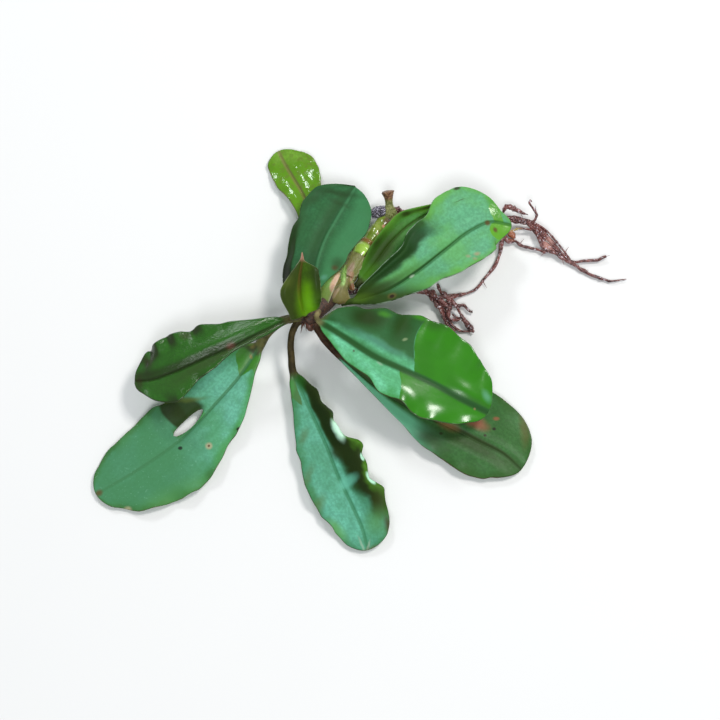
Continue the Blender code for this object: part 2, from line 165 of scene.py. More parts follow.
def piece(name, skins, finish, slot, *nodes):
    """Joins closed skins into one piece of the plant, which rides on its body and stands for its nodes."""
    starts = np.cumsum([0] + [len(skin[0]) for skin in skins])
    faces = [(part + start).tolist() for skin, start in zip(skins, starts) for part in skin[1:3]]
    mesh = bpy.data.meshes.new(name)
    verts = np.concatenate([skin[0] for skin in skins]) * MM
    mesh.from_pydata(verts.tolist(), [], [face for part in faces for face in part])
    for mark in skins[0][3]:
        values = np.concatenate([skin[3][mark] for skin in skins])
        mesh.attributes.new(mark, "FLOAT", "POINT").data.foreach_set("value", values.astype(np.float32))
    mesh.materials.append(finish.material)
    mesh.shade_smooth()
    obj = bpy.data.objects.new(name, mesh)
    bpy.context.scene.collection.objects.link(obj)
    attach(obj, "root")
    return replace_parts(obj, *nodes)


class Field:
    """A value that varies over a surface. Arithmetic on it adds Math nodes to its finish."""

    def __init__(self, finish, socket):
        self.finish = finish
        self.socket = socket

    def __add__(self, other):
        return self.finish.math("ADD", self, other)

    def __sub__(self, other):
        return self.finish.math("SUBTRACT", self, other)

    def __rsub__(self, other):
        return self.finish.math("SUBTRACT", other, self)

    def __mul__(self, other):
        return self.finish.math("MULTIPLY", self, other)

    __radd__ = __add__
    __rmul__ = __mul__


class Finish:
    """A material in the making: its shader, and the fields and colours that feed it."""

    def __init__(self, name, steady, water=None):
        """steady: what is the same all over, set on the shader's own sockets. water: the same for a
        second shader, of the film of water that lies over part of the first."""
        self.material = bpy.data.materials.new(name)
        self.material.use_nodes = True
        self.tree = self.material.node_tree
        self.shaders = [self.tree.nodes["Principled BSDF"]]
        if water:
            self.shaders.append(self.tree.nodes.new("ShaderNodeBsdfPrincipled"))
        for shader, values in zip(self.shaders, (steady, water)):
            for socket, value in values.items():
                shader.inputs[socket].default_value = value
        self.place = self.node("ShaderNodeTexCoord", output="Object")

    def node(self, kind, settings={}, inputs={}, output=0):
        """Adds a node: first its settings, then values or links for its sockets. Gives one output."""
        made = self.tree.nodes.new(kind)
        for setting, value in settings.items():
            setattr(made, setting, value)
        for name, value in inputs.items():
            socket = made.inputs[name]
            if isinstance(value, Field):
                self.tree.links.new(value.socket, socket)
            else:
                socket.default_value = (*value, 1.0) if socket.type == "RGBA" else value
        return Field(self, made.outputs[output])

    def math(self, operation, *values):
        """Adds a Math node that works on numbers or fields."""
        return self.node("ShaderNodeMath", {"operation": operation}, dict(enumerate(values)))

    def vector(self, operation, *values, output="Vector"):
        """Adds a Vector Math node that works on places or colours."""
        return self.node("ShaderNodeVectorMath", {"operation": operation}, dict(enumerate(values)), output)

    def mix(self, factor, first, second):
        """The first colour where factor is 0 and the second where it is 1."""
        return self.node("ShaderNodeMix", {"data_type": "RGBA"}, {0: factor, 6: first, 7: second}, 2)

    def fade(self, field, first, second, low=0.35, high=0.65, strength=1.0):
        """The first colour where field is low, and the second, at its strength, where it is high."""
        return self.mix(self.step(field, low, high) * strength, first, second)

    def mark(self, name):
        """A number that the mesh keeps at its points."""
        return self.node("ShaderNodeAttribute", {"attribute_name": name}, output="Fac")

    def noise(self, size, detail, place=None, output=0):
        """Clouds about size millimetres across, from 0 to 1 with most of it near one half."""
        where = {"Vector": place or self.place, "Scale": 1 / (size * MM), "Detail": detail}
        return self.node("ShaderNodeTexNoise", {}, where, output)

    def step(self, field, low, high):
        """0 up to low, 1 from high on and a smooth rise between, or a fall where low is the greater."""
        rise = {"Value": field, "From Min": low, "From Max": high}
        return self.node("ShaderNodeMapRange", {"interpolation_type": "SMOOTHSTEP"}, rise)

    def band(self, field, start, full, last, end):
        """0 up to start, 1 from full to last and 0 from end on, with smooth slopes between."""
        return self.step(field, start, full) * self.step(field, end, last)

    def stain(self, tone, centre, size, turn, soft, colour, strength, wobble=0.35):
        """Lays an oval of colour over a tone, seen from above.

        It is at centre and has the half axes size, in millimetres, and is turned by so many degrees. Its
        rim is soft, and clouds as large as the oval move it in and out by wobble times its half length.
        """
        reach = wobble * max(size) * MM
        clouds = self.vector("SUBTRACT", self.noise(max(size), 2, output="Color"), (0.5, 0.5, 0.5))
        where = self.vector("ADD", self.place, self.vector("MULTIPLY", clouds, (reach, reach, 0.0)))
        oval = {"Vector": where, "Location": (centre[0] * MM, centre[1] * MM, 0.0),
                "Rotation": (0.0, 0.0, math.radians(turn)), "Scale": (size[0] * MM, size[1] * MM, 10.0)}
        out = self.vector("LENGTH", self.node("ShaderNodeMapping", {"vector_type": "TEXTURE"}, oval),
                          output="Value")
        return self.fade(out, tone, colour, 1.0 + soft, 1.0 - soft, strength)

    def feed(self, socket, field, *shaders):
        """Links a field to a socket of the shaders named, or else of all."""
        for shader in shaders or self.shaders:
            self.tree.links.new(field.socket, shader.inputs[socket])

    def emboss(self, height, depth, *shaders):
        """Raises the surface by height, from 0 to 1, times depth in millimetres."""
        bump = {"Height": height, "Distance": depth * MM}
        self.feed("Normal", self.node("ShaderNodeBump", {}, bump), *shaders)

    def flood(self, film):
        """Lays the film of water over the surface where film is 1."""
        over = self.tree.nodes.new("ShaderNodeMixShader")
        self.tree.links.new(film.socket, over.inputs[0])
        for place, shader in enumerate(self.shaders, 1):
            self.tree.links.new(shader.outputs[0], over.inputs[place])
        self.tree.links.new(over.outputs[0], self.tree.nodes["Material Output"].inputs["Surface"])


def above_floor(z):
    """Half the sum of z and of the root of z squared plus the ease squared, which is never below nought."""
    return (z + np.hypot(z, FLOOR_EASE)) / 2


def tube(points, radius, around, spacing, lumps=None, shares=(0.0, 1.0)):
    """A round tube: a circle of so many points carried along a curve, in rings about so far apart.

    radius: its radius at even steps of its length. lumps: a function of the share of the length and of
    the angle around that the radius is multiplied by. Its mark is the share of its length, between the
    two numbers of shares.
    """
    count = max(FEWEST_STATIONS, round(length_of(points) / spacing))
    t = np.linspace(0, 1, count)
    centre, side, up = frames_along(points, t)
    angle = np.linspace(0, 2 * math.pi, around, endpoint=False)
    thick = curve_through(radius, t)[:, None] * np.ones(around)
    if lumps:
        thick = thick * lumps(t[:, None], angle[None, :])
    outward = np.cos(angle)[:, None] * side[:, None] + np.sin(angle)[:, None] * up[:, None]
    rings = centre[:, None] + thick[..., None] * outward
    rings[..., 2] = above_floor(rings[..., 2])
    share = shares[0] + (shares[1] - shares[0]) * t[:, None]
    return closed_skin(rings, {"share": share + 0 * thick})


def rhizome_lumps(share, angle):
    """Rings, which stand out as narrow bells, and low swellings that wind round the stem."""
    rings = sum(height * bell((share - place) / length) for place, height, length in RHIZOME_RINGS)
    return 1 + rings / RHIZOME_RADIUS + 0.03 * np.sin(2 * angle + 19 * share) * np.sin(31 * share)


def knobbly(share, angle):
    """Close, uneven knobs: two waves that wind round, one of them swelling and fading along the way."""
    knobs = 0.12 * np.sin(5 * angle + 9 * share) * np.sin(11 * share + 1)
    return 1 + knobs + 0.07 * np.sin(9 * angle - 23 * share)


stem = Finish("wet_rhizome", {"Specular IOR Level": 0.5})
share = stem.mark("share")
clouds, grain = stem.noise(2.2, 4), stem.noise(0.35, 2)
tone = stem.fade(clouds, (0.13, 0.21, 0.02), (0.23, 0.30, 0.05))
tone = stem.fade(share + 0.05 * clouds, tone, (0.19, 0.17, 0.055), 0.66, 0.5)
tone = stem.mix(stem.band(share, *GREEN_NODE), tone, (0.34, 0.55, 0.08))
tone = stem.mix(stem.band(share, *BROWN_RING) * 0.9, tone, (0.24, 0.12, 0.035))
for place, size, colour in STEM_SPOTS:
    tone = stem.stain(tone, place, size, turn=-30, soft=0.4, colour=colour, strength=0.85, wobble=0.3)
# Black rot, flecked pale with painted glints
rot_and_glints = stem.fade(grain, (0.012, 0.008, 0.014), (0.34, 0.31, 0.40), 0.45, 0.62)
tone = stem.fade(share + 0.06 * (clouds - 0.5), tone, rot_and_glints, 0.955, 0.975)
fibre = stem.fade(grain, (0.018, 0.007, 0.004), (0.085, 0.032, 0.016), 0.4)
stem.feed("Base Color", stem.fade(share + 0.1 * (clouds - 0.5), tone, fibre, 0.29, 0.17))
stem.feed("Roughness", 0.06 + 0.15 * grain + 0.5 * stem.step(share, 0.36, 0.24))
stem.emboss(clouds * 0.6 + grain * 0.4, 0.08)
piece("creeping_stem", [
    tube(RHIZOME_AXIS, RHIZOME_RADIUS * np.array(RHIZOME_WIDTHS), around=40, spacing=0.25,
         lumps=rhizome_lumps),
    tube(CROWN_CORE, CROWN_RADII, around=36, spacing=0.2, lumps=knobbly, shares=CORE_SHARES),
    tube(BLACK_KNOB, KNOB_RADII, around=36, spacing=0.15, lumps=knobbly, shares=KNOB_SHARES),
], stem, "rhizome", "rhizome")

# Spent stalk: what is left of an old flower stalk at the stem's old end, soft olive tissue.
# It broke off and its end dried into a frayed brown cup.
STALK_ROUTE = [(7.6, 37.4, 3.8), (7.4, 38.7, 5.0), (7.2, 40.5, 6.3), (7.0, 42.2, 7.4), (6.7, 43.5, 8.2)]
STALK_RADII = [2.2, 1.9, 1.12, 1.2, 1.75]


def frayed(share, angle):
    """Wrinkles across its neck, seven grooves that deepen towards its torn end, and three lobes there."""
    wrinkles = 0.035 * np.sin(70 * share) * bell((share - 0.5) / 0.2)
    grooves = 0.05 * np.sin(7 * angle) * (0.3 + share**3)
    return 1 + wrinkles + grooves + 0.1 * share**8 * np.sin(3 * angle + 1)


husk = Finish("spent_stalk", {"Specular IOR Level": 0.4})
share, fibres = husk.mark("share"), husk.noise(0.5, 4)
tone = husk.fade(fibres, (0.10, 0.12, 0.02), (0.25, 0.26, 0.09))
dry_end = husk.fade(fibres, (0.09, 0.03, 0.014), (0.28, 0.15, 0.07), 0.4, 0.6)
husk.feed("Base Color", husk.fade(share + 0.2 * (fibres - 0.5), tone, dry_end, 0.62, 0.8))
husk.feed("Roughness", 0.35 + 0.3 * fibres)
husk.emboss(fibres, 0.35)
piece("flared_stub", [tube(STALK_ROUTE, STALK_RADII, around=28, spacing=0.12, lumps=frayed)],
      husk, "stalk", "old_stalk")

# Front leaf: a long blade on a brown stalk, flat at one side of its midrib and folded up at the other.
# Living leaf half a millimetre thick, bloomed where it is dry, and wet along one edge of its base.
# It hangs from the underside of the crown and lies on its tip.
LEFT, RIGHT = -1, 1
BLADE_THICKNESS = 0.5
RIB_DEPTH, RIB_WIDTH = 0.55, 0.9
GROOVE_WIDTH, GROOVE_END = 0.36, 0.96
STALK_RADIUS = 0.85
STALK_BLEND = 0.06
TIP_END = 0.9995
STATION_SPACING = 0.45
HALF_COLUMNS = 30
# How much the stations crowd at the tip, and the columns at the midrib and the margins
TIP_CROWDING, COLUMN_CROWDING = 1.25, 0.72
# How far a ruffle pulls the margin in, as a share of its height
RUFFLE_PULL = 0.25
# A tear's lips: how round they are, in blade thicknesses, and how far the blade gives way beside them,
# in half openings
LIP_ROUND, TEAR_GIVE = 0.15, 3
TO_SKY = np.array([0.28, 0.38, 0.88])
# Marks where there is no blade's edge near, and no water
FAR_FROM_EDGE, NOT_WET = 5, -9.0
PALE_UNDERSIDE = (0.25, 0.42, 0.24)
FOLD_SHADE = (0.017, 0.032, 0.005)


def leaf_skin(midrib, left, right, blade_from, tip_round, lift, curl, bends=(), ruffles=(), crest=(),
              groove=0.18, wet=None, tear=None, stalk=(1.0, 1.0)):
    """One leaf with its stalk: a section carried along the midrib, worked out as one grid.

    Stations run along the midrib and crowd towards the tip. The section runs from the left margin over
    the top to the right one, and back below; its points crowd at the midrib and at both margins. Left
    and right are a walker's on it, from the crown to the tip. A point at share s of the half width is
    width times s times the cosine of the rise out from the midrib, and up by width times (s times the
    sine of the rise, less the curl times s squared). To that come the bends, the ruffles, the crests
    beside the midrib, the groove along it, half the thickness, rounded off at the margins, and the rib
    below. The stalk is a circle that turns into the blade over its first stretch.

    left, right: half widths at even steps of the blade. blade_from: share of the length that is stalk.
    tip_round: share of the blade that the tip rounds off. lift: rise of each half, in degrees, at even
    steps. curl: how far each half droops. bends: (side, from share, to share, heights at even steps),
    what the blade climbs between two shares of its half width. ruffles: (side, share that they start
    from, [(place along the blade, half length, height), ...]). crest: (side, distance, width, heights at
    even steps). groove: its depth. wet: a function of the places and of the marks that says how far
    inside the wet part a point is. tear: (share, middle, half length, half opening), a slit that lies
    along the veins. stalk: its radius at even steps, in STALK_RADIUS. Lengths are in millimetres.
    """
    stations = np.linspace(0, 1, round(length_of(midrib) / STATION_SPACING))
    t = 1 - (1 - stations) ** TIP_CROWDING
    centre, side, up = frames_along(midrib, t)
    blade = np.clip((t - blade_from) / (1 - blade_from), 0, 1)
    column = np.linspace(-1, 1, 2 * HALF_COLUMNS - 1)
    s = column - COLUMN_CROWDING * np.sin(2 * math.pi * column) / (2 * math.pi)
    lip = np.zeros(len(s))
    if tear:
        cut = np.searchsorted(s, tear[0])
        s = np.concatenate([s[:cut], [tear[0], tear[0]], s[cut:]])
        column = np.concatenate([column[:cut], column[cut:cut + 1], column[cut:cut + 1], column[cut:]])
        lip = np.where(np.arange(len(s)) <= cut, -1.0, 1.0) * (s > 0)
    top = len(s)
    s, column, lip = (np.concatenate([row, row[-2:0:-1]]) for row in (s, column, lip))
    above = np.where(np.arange(len(s)) < top, 1.0, -1.0)
    above[[0, top - 1]] = 0
    half = np.where(s < 0, 0, 1)

    past_shoulder = np.clip((blade - 1 + tip_round) / tip_round, 0, TIP_END)
    width = np.stack([curve_through(left, blade), curve_through(right, blade)], 1)
    width = (width * np.sqrt(1 - past_shoulder**2)[:, None])[:, half]
    rise = np.radians(np.stack([curve_through(lift[0], blade), curve_through(lift[1], blade)], 1))[:, half]
    reach = np.abs(s)[None, :]
    across = width * s
    edge = width * (1 - reach)
    out = across.copy()
    slit = None
    if tear:
        share, middle, length, opening = tear
        gap = opening * np.sqrt(np.clip(1 - ((blade - middle) / length) ** 2, 0, 1))[:, None]
        from_lip = np.abs(across - width * share)
        give = np.where(lip > 0, np.exp(-from_lip / (TEAR_GIVE * opening)), s / share)
        out = out + lip * gap * give
        to_lip = np.minimum(edge, from_lip + LIP_ROUND * BLADE_THICKNESS)
        edge = np.where((gap > 0) & (lip != 0), to_lip, edge)
        last = 2 * (top - 1)
        slit = ((cut, last - cut), (cut + 1, last - cut - 1), gap[:, 0] > 0)
    x = out * np.cos(rise)
    y = width * (reach * np.sin(rise) - np.asarray(curl)[half] * reach**2)
    for where, start, end, heights in bends:
        climb = smooth_step((where * s - start) / (end - start))[None, :]
        y = y + climb * curve_through(heights, blade)[:, None]
    for where, start, waves in ruffles:
        climb = smooth_step((where * s - start) / (1 - start))[None, :]
        rows = sum(height * bell((blade - place) / length) for place, length, height in waves)[:, None]
        y = y + climb * rows
        x = x - where * climb * np.abs(rows) * RUFFLE_PULL
    for where, distance, spread, heights in crest:
        y = y + curve_through(heights, blade)[:, None] * bell((across - where * distance) / spread)
    groove_depth = groove * np.sqrt(np.sin(math.pi * np.clip(blade, 0, GROOVE_END)))
    y = y - groove_depth[:, None] * bell(across / GROOVE_WIDTH)
    skin = BLADE_THICKNESS / 2 * np.sqrt(1 - (1 - np.clip(edge / BLADE_THICKNESS, 0, 1)) ** 2)
    rib = RIB_DEPTH * bell(across / RIB_WIDTH) * (1 - blade[:, None] ** 3)
    y = y + above * skin - (above < 0) * rib

    angle = math.pi / 2 * (1 - column) * np.where(above < 0, -1, 1)
    thick = curve_through(stalk, np.minimum(t / max(blade_from, 1e-6), 1))[:, None] * STALK_RADIUS
    flat = smooth_step(blade / STALK_BLEND)[:, None]
    x = thick * np.cos(angle) * (1 - flat) + x * flat
    y = thick * np.sin(angle) * (1 - flat) + y * flat
    rings = centre[:, None] + x[..., None] * side[:, None] + y[..., None] * up[:, None]
    rings[..., 2] = above_floor(rings[..., 2])

    # How far each point has turned away from the open sky, where the finish paints shade
    facing = np.cross(np.gradient(rings, axis=1), np.gradient(rings, axis=0))
    facing = np.abs(facing @ TO_SKY) / (np.linalg.norm(facing, axis=-1) + 1e-9)
    marks = {"across": across, "edge": edge * flat + FAR_FROM_EDGE * (1 - flat), "share": s + 0 * across,
             "along": (t[:, None] - blade_from) * length_of(midrib) + 0 * across,
             "under": (above < 0) + 0 * across, "turned": 1 - facing, "stalk": 1 - flat + 0 * across}
    marks["wet"] = wet(rings, marks) if wet else NOT_WET + 0 * across
    return closed_skin(rings, marks, slit)


def near(rings, start, end, radius):
    """How far each place is inside the band within radius of a line from start to end, in plan: the
    radius less the distance to the nearest point of the line."""
    start, end = np.array(start), np.array(end)
    from_start = rings[..., :2] - start
    share = np.clip(from_start @ (end - start) / ((end - start) @ (end - start)), 0, 1)
    return radius - np.linalg.norm(from_start - share[..., None] * (end - start), axis=-1)


def inside(rings, corners):
    """How far inside an outline without hollows each place is, in plan: the least distance to its sides."""
    corners = np.array(corners, float)
    sides = np.roll(corners, -1, axis=0) - corners
    turn = np.sign(sides[0, 0] * sides[1, 1] - sides[0, 1] * sides[1, 0])
    from_corner = rings[..., None, :2] - corners
    depth = turn * (sides[:, 0] * from_corner[..., 1] - sides[:, 1] * from_corner[..., 0])
    return (depth / np.hypot(*sides.T)).min(axis=-1)


def tinted(colour, times):
    """A colour with each of its three numbers multiplied."""
    return tuple(times * part for part in colour)


def leaf_finish(name, dry, wet, shade, margin, rib, patches=(), touches=None, bloom=1.0, damp=0.0,
                slick=0.16, ripple=(1.1, 0.10), pits=0.0, stalk=(0.10, 0.085, 0.03),
                turned_by=(0.2, 0.5), vein=(0.65, 0.7)):
    """A leaf's skin: green tissue, with a pale bloom on it where it is dry, partly its own and partly
    painted sheen that lies where it is open to the sky, painted shade where it has turned away, and a film
    of water over its wet part, which leaves the midrib bare.

    dry, wet, shade, margin, rib, stalk: colours of the bloom, which is partly painted sheen, of the tissue,
    of the painted shade where the skin has turned away, of the rubbed margin, of the midrib and of the
    stalk.
    patches: (centre, half axes, turn, softness, colour, strength), ovals in plan. touches: a function of
    the finish and its tone that gives the tone back with what is peculiar to one leaf. bloom: how much of
    it
    there is. damp: how much water lies where it is called dry. slick: the water's roughness. ripple: size
    and depth of its waves, in mm. pits: how pitted the skin is. turned_by: how far the skin has turned away
    where the bloom starts to give way to painted shade and where it is gone. vein: how far the midrib's
    colour reaches on each side, in mm, and how strong it is.
    """
    leaf = Finish(name, {"Specular IOR Level": 0.12}, {"Specular IOR Level": 0.5, "Roughness": slick})
    clouds, mottle, cells = leaf.noise(9, 3), leaf.noise(2.2, 3), leaf.noise(0.3, 2)
    cloudy, mottled = leaf.step(clouds, 0.35, 0.65), leaf.step(mottle, 0.35, 0.65)
    edge, under, on_stalk = leaf.mark("edge"), leaf.mark("under"), leaf.mark("stalk")
    # Streaks along the veins: clouds on the shares across and a much shortened way along
    lengthwise = {0: leaf.mark("share") * 0.02, 1: leaf.mark("along") * (0.04 * MM), 2: 0.0}
    streaks = leaf.noise(1.6, 3, leaf.node("ShaderNodeCombineXYZ", {}, lengthwise))
    film = leaf.step(leaf.mark("wet") + (mottle - 0.5) * 0.8, -0.15, 0.15)
    away = leaf.step(leaf.mark("turned") + 0.08 * (clouds - 0.5), *turned_by)

    # Painted shade takes the place of the tissue where the skin has turned away from the sky
    tissue = leaf.mix(away, leaf.mix(cloudy * 0.5, wet, tinted(wet, 0.72)), shade)
    # The bloom, partly the dry skin's own pale haze and partly painted sheen
    bloom_and_sheen = leaf.fade(streaks, dry, tinted(dry, 0.72), 0.35, 0.7, 0.5)
    bloom_and_sheen = leaf.fade(mottle, bloom_and_sheen, tinted(dry, 1.3), 0.4, 0.75, 0.4)
    bloom_and_sheen = leaf.fade(leaf.noise(0.8, 4), bloom_and_sheen, tinted(dry, 0.65), 0.6, 0.4, 0.5)
    worn = leaf.step(edge + 5 * (clouds - 0.5), 2.8, 0.2)
    # It lies only where the skin faces the sky, as painted sheen does, and not where it is wet or worn
    covered = (1 - film) * (1 - away) * (1 - 0.6 * worn) * (0.62 + 0.38 * cloudy) * bloom
    tone = leaf.mix(covered, tissue, bloom_and_sheen)
    on_rib = leaf.step(leaf.math("ABSOLUTE", leaf.mark("across")), vein[0], 0.3 * vein[0])
    tone = leaf.mix(on_rib * vein[1], tone, rib)
    if touches:
        tone = touches(leaf, tone)
    for patch in patches:
        tone = leaf.stain(tone, *patch)
    tone = leaf.mix(leaf.step(edge, 0.3, 0.05) * mottled * 0.7, tone, margin)
    tone = leaf.mix(under * 0.9, tone, PALE_UNDERSIDE)
    bark = leaf.fade(mottle, stalk, tinted(stalk, 0.55), 0.4, 0.6)
    leaf.feed("Base Color", leaf.mix(on_stalk, tone, bark))

    skin, water = leaf.shaders
    leaf.feed("Roughness", 0.5 + 0.16 * (cells - 0.5), skin)
    leaf.emboss(cells * (0.3 + pits) + streaks * 0.5 + mottle * 0.3, 0.10 + 0.2 * pits, skin)
    leaf.emboss(leaf.noise(ripple[0], 2) + cells * (0.1 + pits), ripple[1], water)
    flooded = (film + (1 - film) * damp) * (1 - 0.9 * on_rib)
    leaf.flood(flooded * (1 - under) * (1 - on_stalk * 0.5))
    return leaf


def make_leaf(name, slot, node, skin, **look):
    """One leaf: its skin in its own finish."""
    piece(name, [skin], leaf_finish(name, **look), slot, node)


FRONT_LEAF = leaf_skin(
    midrib=[(-16.8, 5.2, 9.6), (-18.6, 4.4, 9.0), (-19.9, 2.2, 8.4), (-20.5, -1.4, 7.4), (-20.3, -5.0, 6.3),
            (-20.1, -7.8, 5.5), (-17.3, -14.5, 4.3), (-13.7, -22.3, 3.3), (-10.3, -29.9, 2.6),
            (-6.9, -38.6, 2.1), (-3.3, -46.1, 1.7), (-0.5, -52.5, 1.4), (1.1, -58.6, 1.1)],
    left=[1.3, 1.9, 2.4, 3.0, 4.0, 3.9, 3.7, 4.6, 5.4, 4.6, 4.8, 5.1, 6.1, 8.6, 9.3, 8.2, 8.5, 8.4, 7.8,
          7.4, 8.6, 9.8, 9.2, 8.6, 8.3, 7.8, 6.8, 5.6, 4.6],
    right=[1.1, 1.8, 2.5, 3.1, 3.7, 4.3, 5.0, 5.8, 6.5, 7.2, 7.8, 8.5, 8.6, 8.6, 9.1, 9.5, 9.7, 9.8, 9.8,
           9.5, 9.4, 9.2, 8.4, 7.8, 7.5, 6.9, 6.1, 5.0, 3.8],
    blade_from=0.224, tip_round=0.06, curl=(0.0, 0.04), lift=((2, 4, 4, 4, 2), (4, 8, 10, 8, 4)),
    bends=[(LEFT, 0.08, 0.9, [0, 1.6, 3.0, 3.8, 4.0, 4.2, 4.2, 3.6, 2.6, 1.2, 0.2]),
           (LEFT, 0.84, 1.0, [0, -0.1, 0.4, -0.4, -1.6, 0.2, -1.4, 0.3, -1.2, 0.2, -0.6, 0.2, -0.4, 0, 0])],
    ruffles=[(RIGHT, 0.55, [(0.33, 0.04, -0.4), (0.43, 0.04, 0.4), (0.53, 0.04, -0.5), (0.63, 0.045, 0.6),
                            (0.71, 0.04, -0.5), (0.8, 0.045, 0.5), (0.88, 0.03, -0.3)])],
    wet=lambda rings, marks: inside(
        rings, [(-24, -6), (-24, -13), (-20.4, -16), (-17.0, -18.6), (-18.1, -14.8), (-20.9, -6)]),
    stalk=(1.25, 1.15, 1.1, 1.15, 1.25))


def front_touches(leaf, tone):
    """Painted shade darkens the folded half beyond a line that nears the midrib and then leaves it, and
    less so at the tip. Painted light makes its rim green, as where light comes through."""
    share, along, wander = leaf.mark("share"), leaf.mark("along"), leaf.noise(5, 2) - 0.5
    inner = 0.22 + 0.16 * leaf.step(along, 12, 5) + 0.26 * leaf.step(along, 27, 40)
    # Painted shade over the folded half
    dark = leaf.step(share + inner + 0.5 * wander, 0.1, -0.14) * leaf.step(along, 51, 43)
    tone = leaf.mix(dark, tone, FOLD_SHADE)
    # Painted light through the rim
    rim = leaf.step(share + 0.7 * wander, -0.70, -0.95) * leaf.band(along, 14, 22, 36, 56)
    return leaf.mix(rim * 0.85, tone, (0.065, 0.19, 0.012))


make_leaf(
    "front_leaf", "leaf_dry", "leaf_front", FRONT_LEAF,
    dry=(0.12, 0.42, 0.29), wet=(0.022, 0.13, 0.012), shade=(0.022, 0.06, 0.012),
    margin=(0.05, 0.08, 0.02), rib=(0.03, 0.16, 0.065), stalk=(0.055, 0.04, 0.014), touches=front_touches,
    turned_by=(0.3, 0.75), slick=0.4, ripple=(2.0, 0.04), vein=(0.8, 0.7),
    # In turn: green at the base, painted shade in hollows of the fold with bloom between them, green beside
    # the base, dull spots along the flat margin, painted light on the pale ridge of the fold, and a
    # wrinkled, browned tip
    patches=[((-20.0, -12.5), (0.7, 2.8), 0, 0.7, (0.03, 0.21, 0.025), 0.8),
             ((-6.9, -31.0), (2.1, 3.0), 30, 0.6, FOLD_SHADE, 0.95),
             ((-4.8, -39.9), (1.5, 2.8), -60, 0.6, (0.12, 0.42, 0.29), 0.9),
             ((4.2, -46.0), (1.9, 3.6), 12, 0.7, (0.028, 0.045, 0.006), 0.8),
             ((-18.6, -9.6), (1.4, 4.4), 22, 0.6, (0.02, 0.10, 0.012), 0.9),
             ((-16.8, -27.0), (1.0, 2.2), -20, 0.9, (0.08, 0.15, 0.05), 0.6),
             ((-15.6, -38.5), (1.0, 3.0), -20, 0.9, (0.08, 0.15, 0.05), 0.6),
             ((-12.6, -46.4), (1.3, 2.6), -30, 0.9, (0.09, 0.17, 0.05), 0.6),
             ((-7.5, -53.2), (3.0, 1.4), -45, 0.9, (0.12, 0.36, 0.09), 0.6),
             ((-7.2, -26.0), (1.1, 2.9), 30, 0.5, (0.62, 0.98, 0.74), 0.95),
             ((-0.5, -33.5), (0.5, 1.1), 20, 0.3, (0.50, 0.86, 0.64), 0.9),
             ((1.9, -39.4), (0.8, 1.9), 35, 0.3, (0.50, 0.86, 0.64), 0.9),
             ((3.4, -50.9), (2.4, 3.0), 10, 1.0, (0.09, 0.27, 0.07), 0.6),
             ((-0.6, -57.2), (0.3, 2.2), 25, 0.7, (0.30, 0.44, 0.32), 0.6),
             ((1.2, -57.6), (0.3, 1.6), -15, 0.7, (0.30, 0.40, 0.30), 0.6),
             ((2.2, -58.6), (1.8, 0.9), 20, 0.9, (0.10, 0.10, 0.04), 0.7),
             ((6.8, -52.0), (1.0, 2.2), 15, 0.7, (0.05, 0.03, 0.01), 0.8)])

# Right leaf: the broad one in front of the crown, dry at its base and under a film of water beyond.
# Living leaf with a sharp line between its pale bloom and its wet, saturated green.
# It springs from the top of the crown and arches down to the right.
RIGHT_LEAF = leaf_skin(
    midrib=[(-12.0, 8.4, 11.2), (-12.7, 6.6, 12.2), (-13.2, 4.9, 13.1), (-12.7, 3.6, 13.7),
            (-11.3, 2.7, 14.0), (-5.2, -1.4, 14.5), (3.0, -6.9, 14.7), (11.3, -10.6, 14.1),
            (19.6, -14.2, 12.7), (27.9, -18.4, 10.5), (34.4, -21.1, 8.1)],
    left=[0.8, 6.1, 8.8, 9.9, 12.8, 13.9, 13.8, 14.8, 16.0, 15.9, 16.2, 15.3, 14.5, 12.6, 11.5, 9.2, 6.6],
    right=[0.6, 2.2, 3.4, 4.7, 5.6, 5.8, 6.2, 8.7, 8.9, 8.8, 10.0, 10.5, 10.0, 8.6, 7.1, 4.9, 3.4],
    blade_from=0.085, tip_round=0.06, lift=((10, 9, 8, 8, 6), (5, 4, 2, 0, 0)), curl=(0.04, -0.01),
    crest=[(LEFT, 2.4, 2.2, [0.2, 0.5, 0.7, 0.6, 0.15, 0.0, 0.65, 0.5])], groove=0.02,
    ruffles=[(LEFT, 0.35, [(0.08, 0.05, -0.4), (0.2, 0.055, 1.1), (0.32, 0.045, -0.8), (0.43, 0.05, 1.2),
                           (0.53, 0.04, -0.6), (0.62, 0.045, 0.9), (0.71, 0.04, -0.5), (0.8, 0.04, 0.5),
                           (0.88, 0.035, -0.5), (0.94, 0.03, 0.4)]),
             (RIGHT, 0.6, [(0.2, 0.04, 0.3), (0.3, 0.04, -0.4), (0.4, 0.035, 0.5)]),
             (RIGHT, 0.45, [(0.48, 0.035, -0.3), (0.57, 0.05, 0.75), (0.66, 0.035, -0.4),
                            (0.755, 0.05, 0.75), (0.84, 0.035, -0.3), (0.92, 0.04, 0.4)])],
    wet=lambda rings, marks: rings[..., 0] - np.where(
        marks["across"] < 0, 13.9 + 0.06 * np.clip(rings[..., 1] + 4, 0, 9) ** 2,
        9.7 + 0.5 * bell((rings[..., 1] + 15) / 2.5)),
    stalk=(1.0, 0.9, 0.9))


def right_touches(leaf, tone):
    """Painted shade: a dark line along the lower side of the midrib. The dry upper half is a darker, warmer
    green.
    """
    # Painted shade of the groove along the midrib
    line = leaf.band(leaf.mark("across"), -0.5, 0.2, 0.6, 1.6)
    tone = leaf.mix(line * 0.85, tone, (0.016, 0.07, 0.014))
    dry = 1 - leaf.step(leaf.mark("wet"), -0.3, 0.3)
    upper = leaf.step(leaf.mark("share") + 0.5 * (leaf.noise(6, 2) - 0.5), -0.12, -0.38) * dry
    return leaf.mix(upper * 0.93, tone, (0.02, 0.085, 0.018))


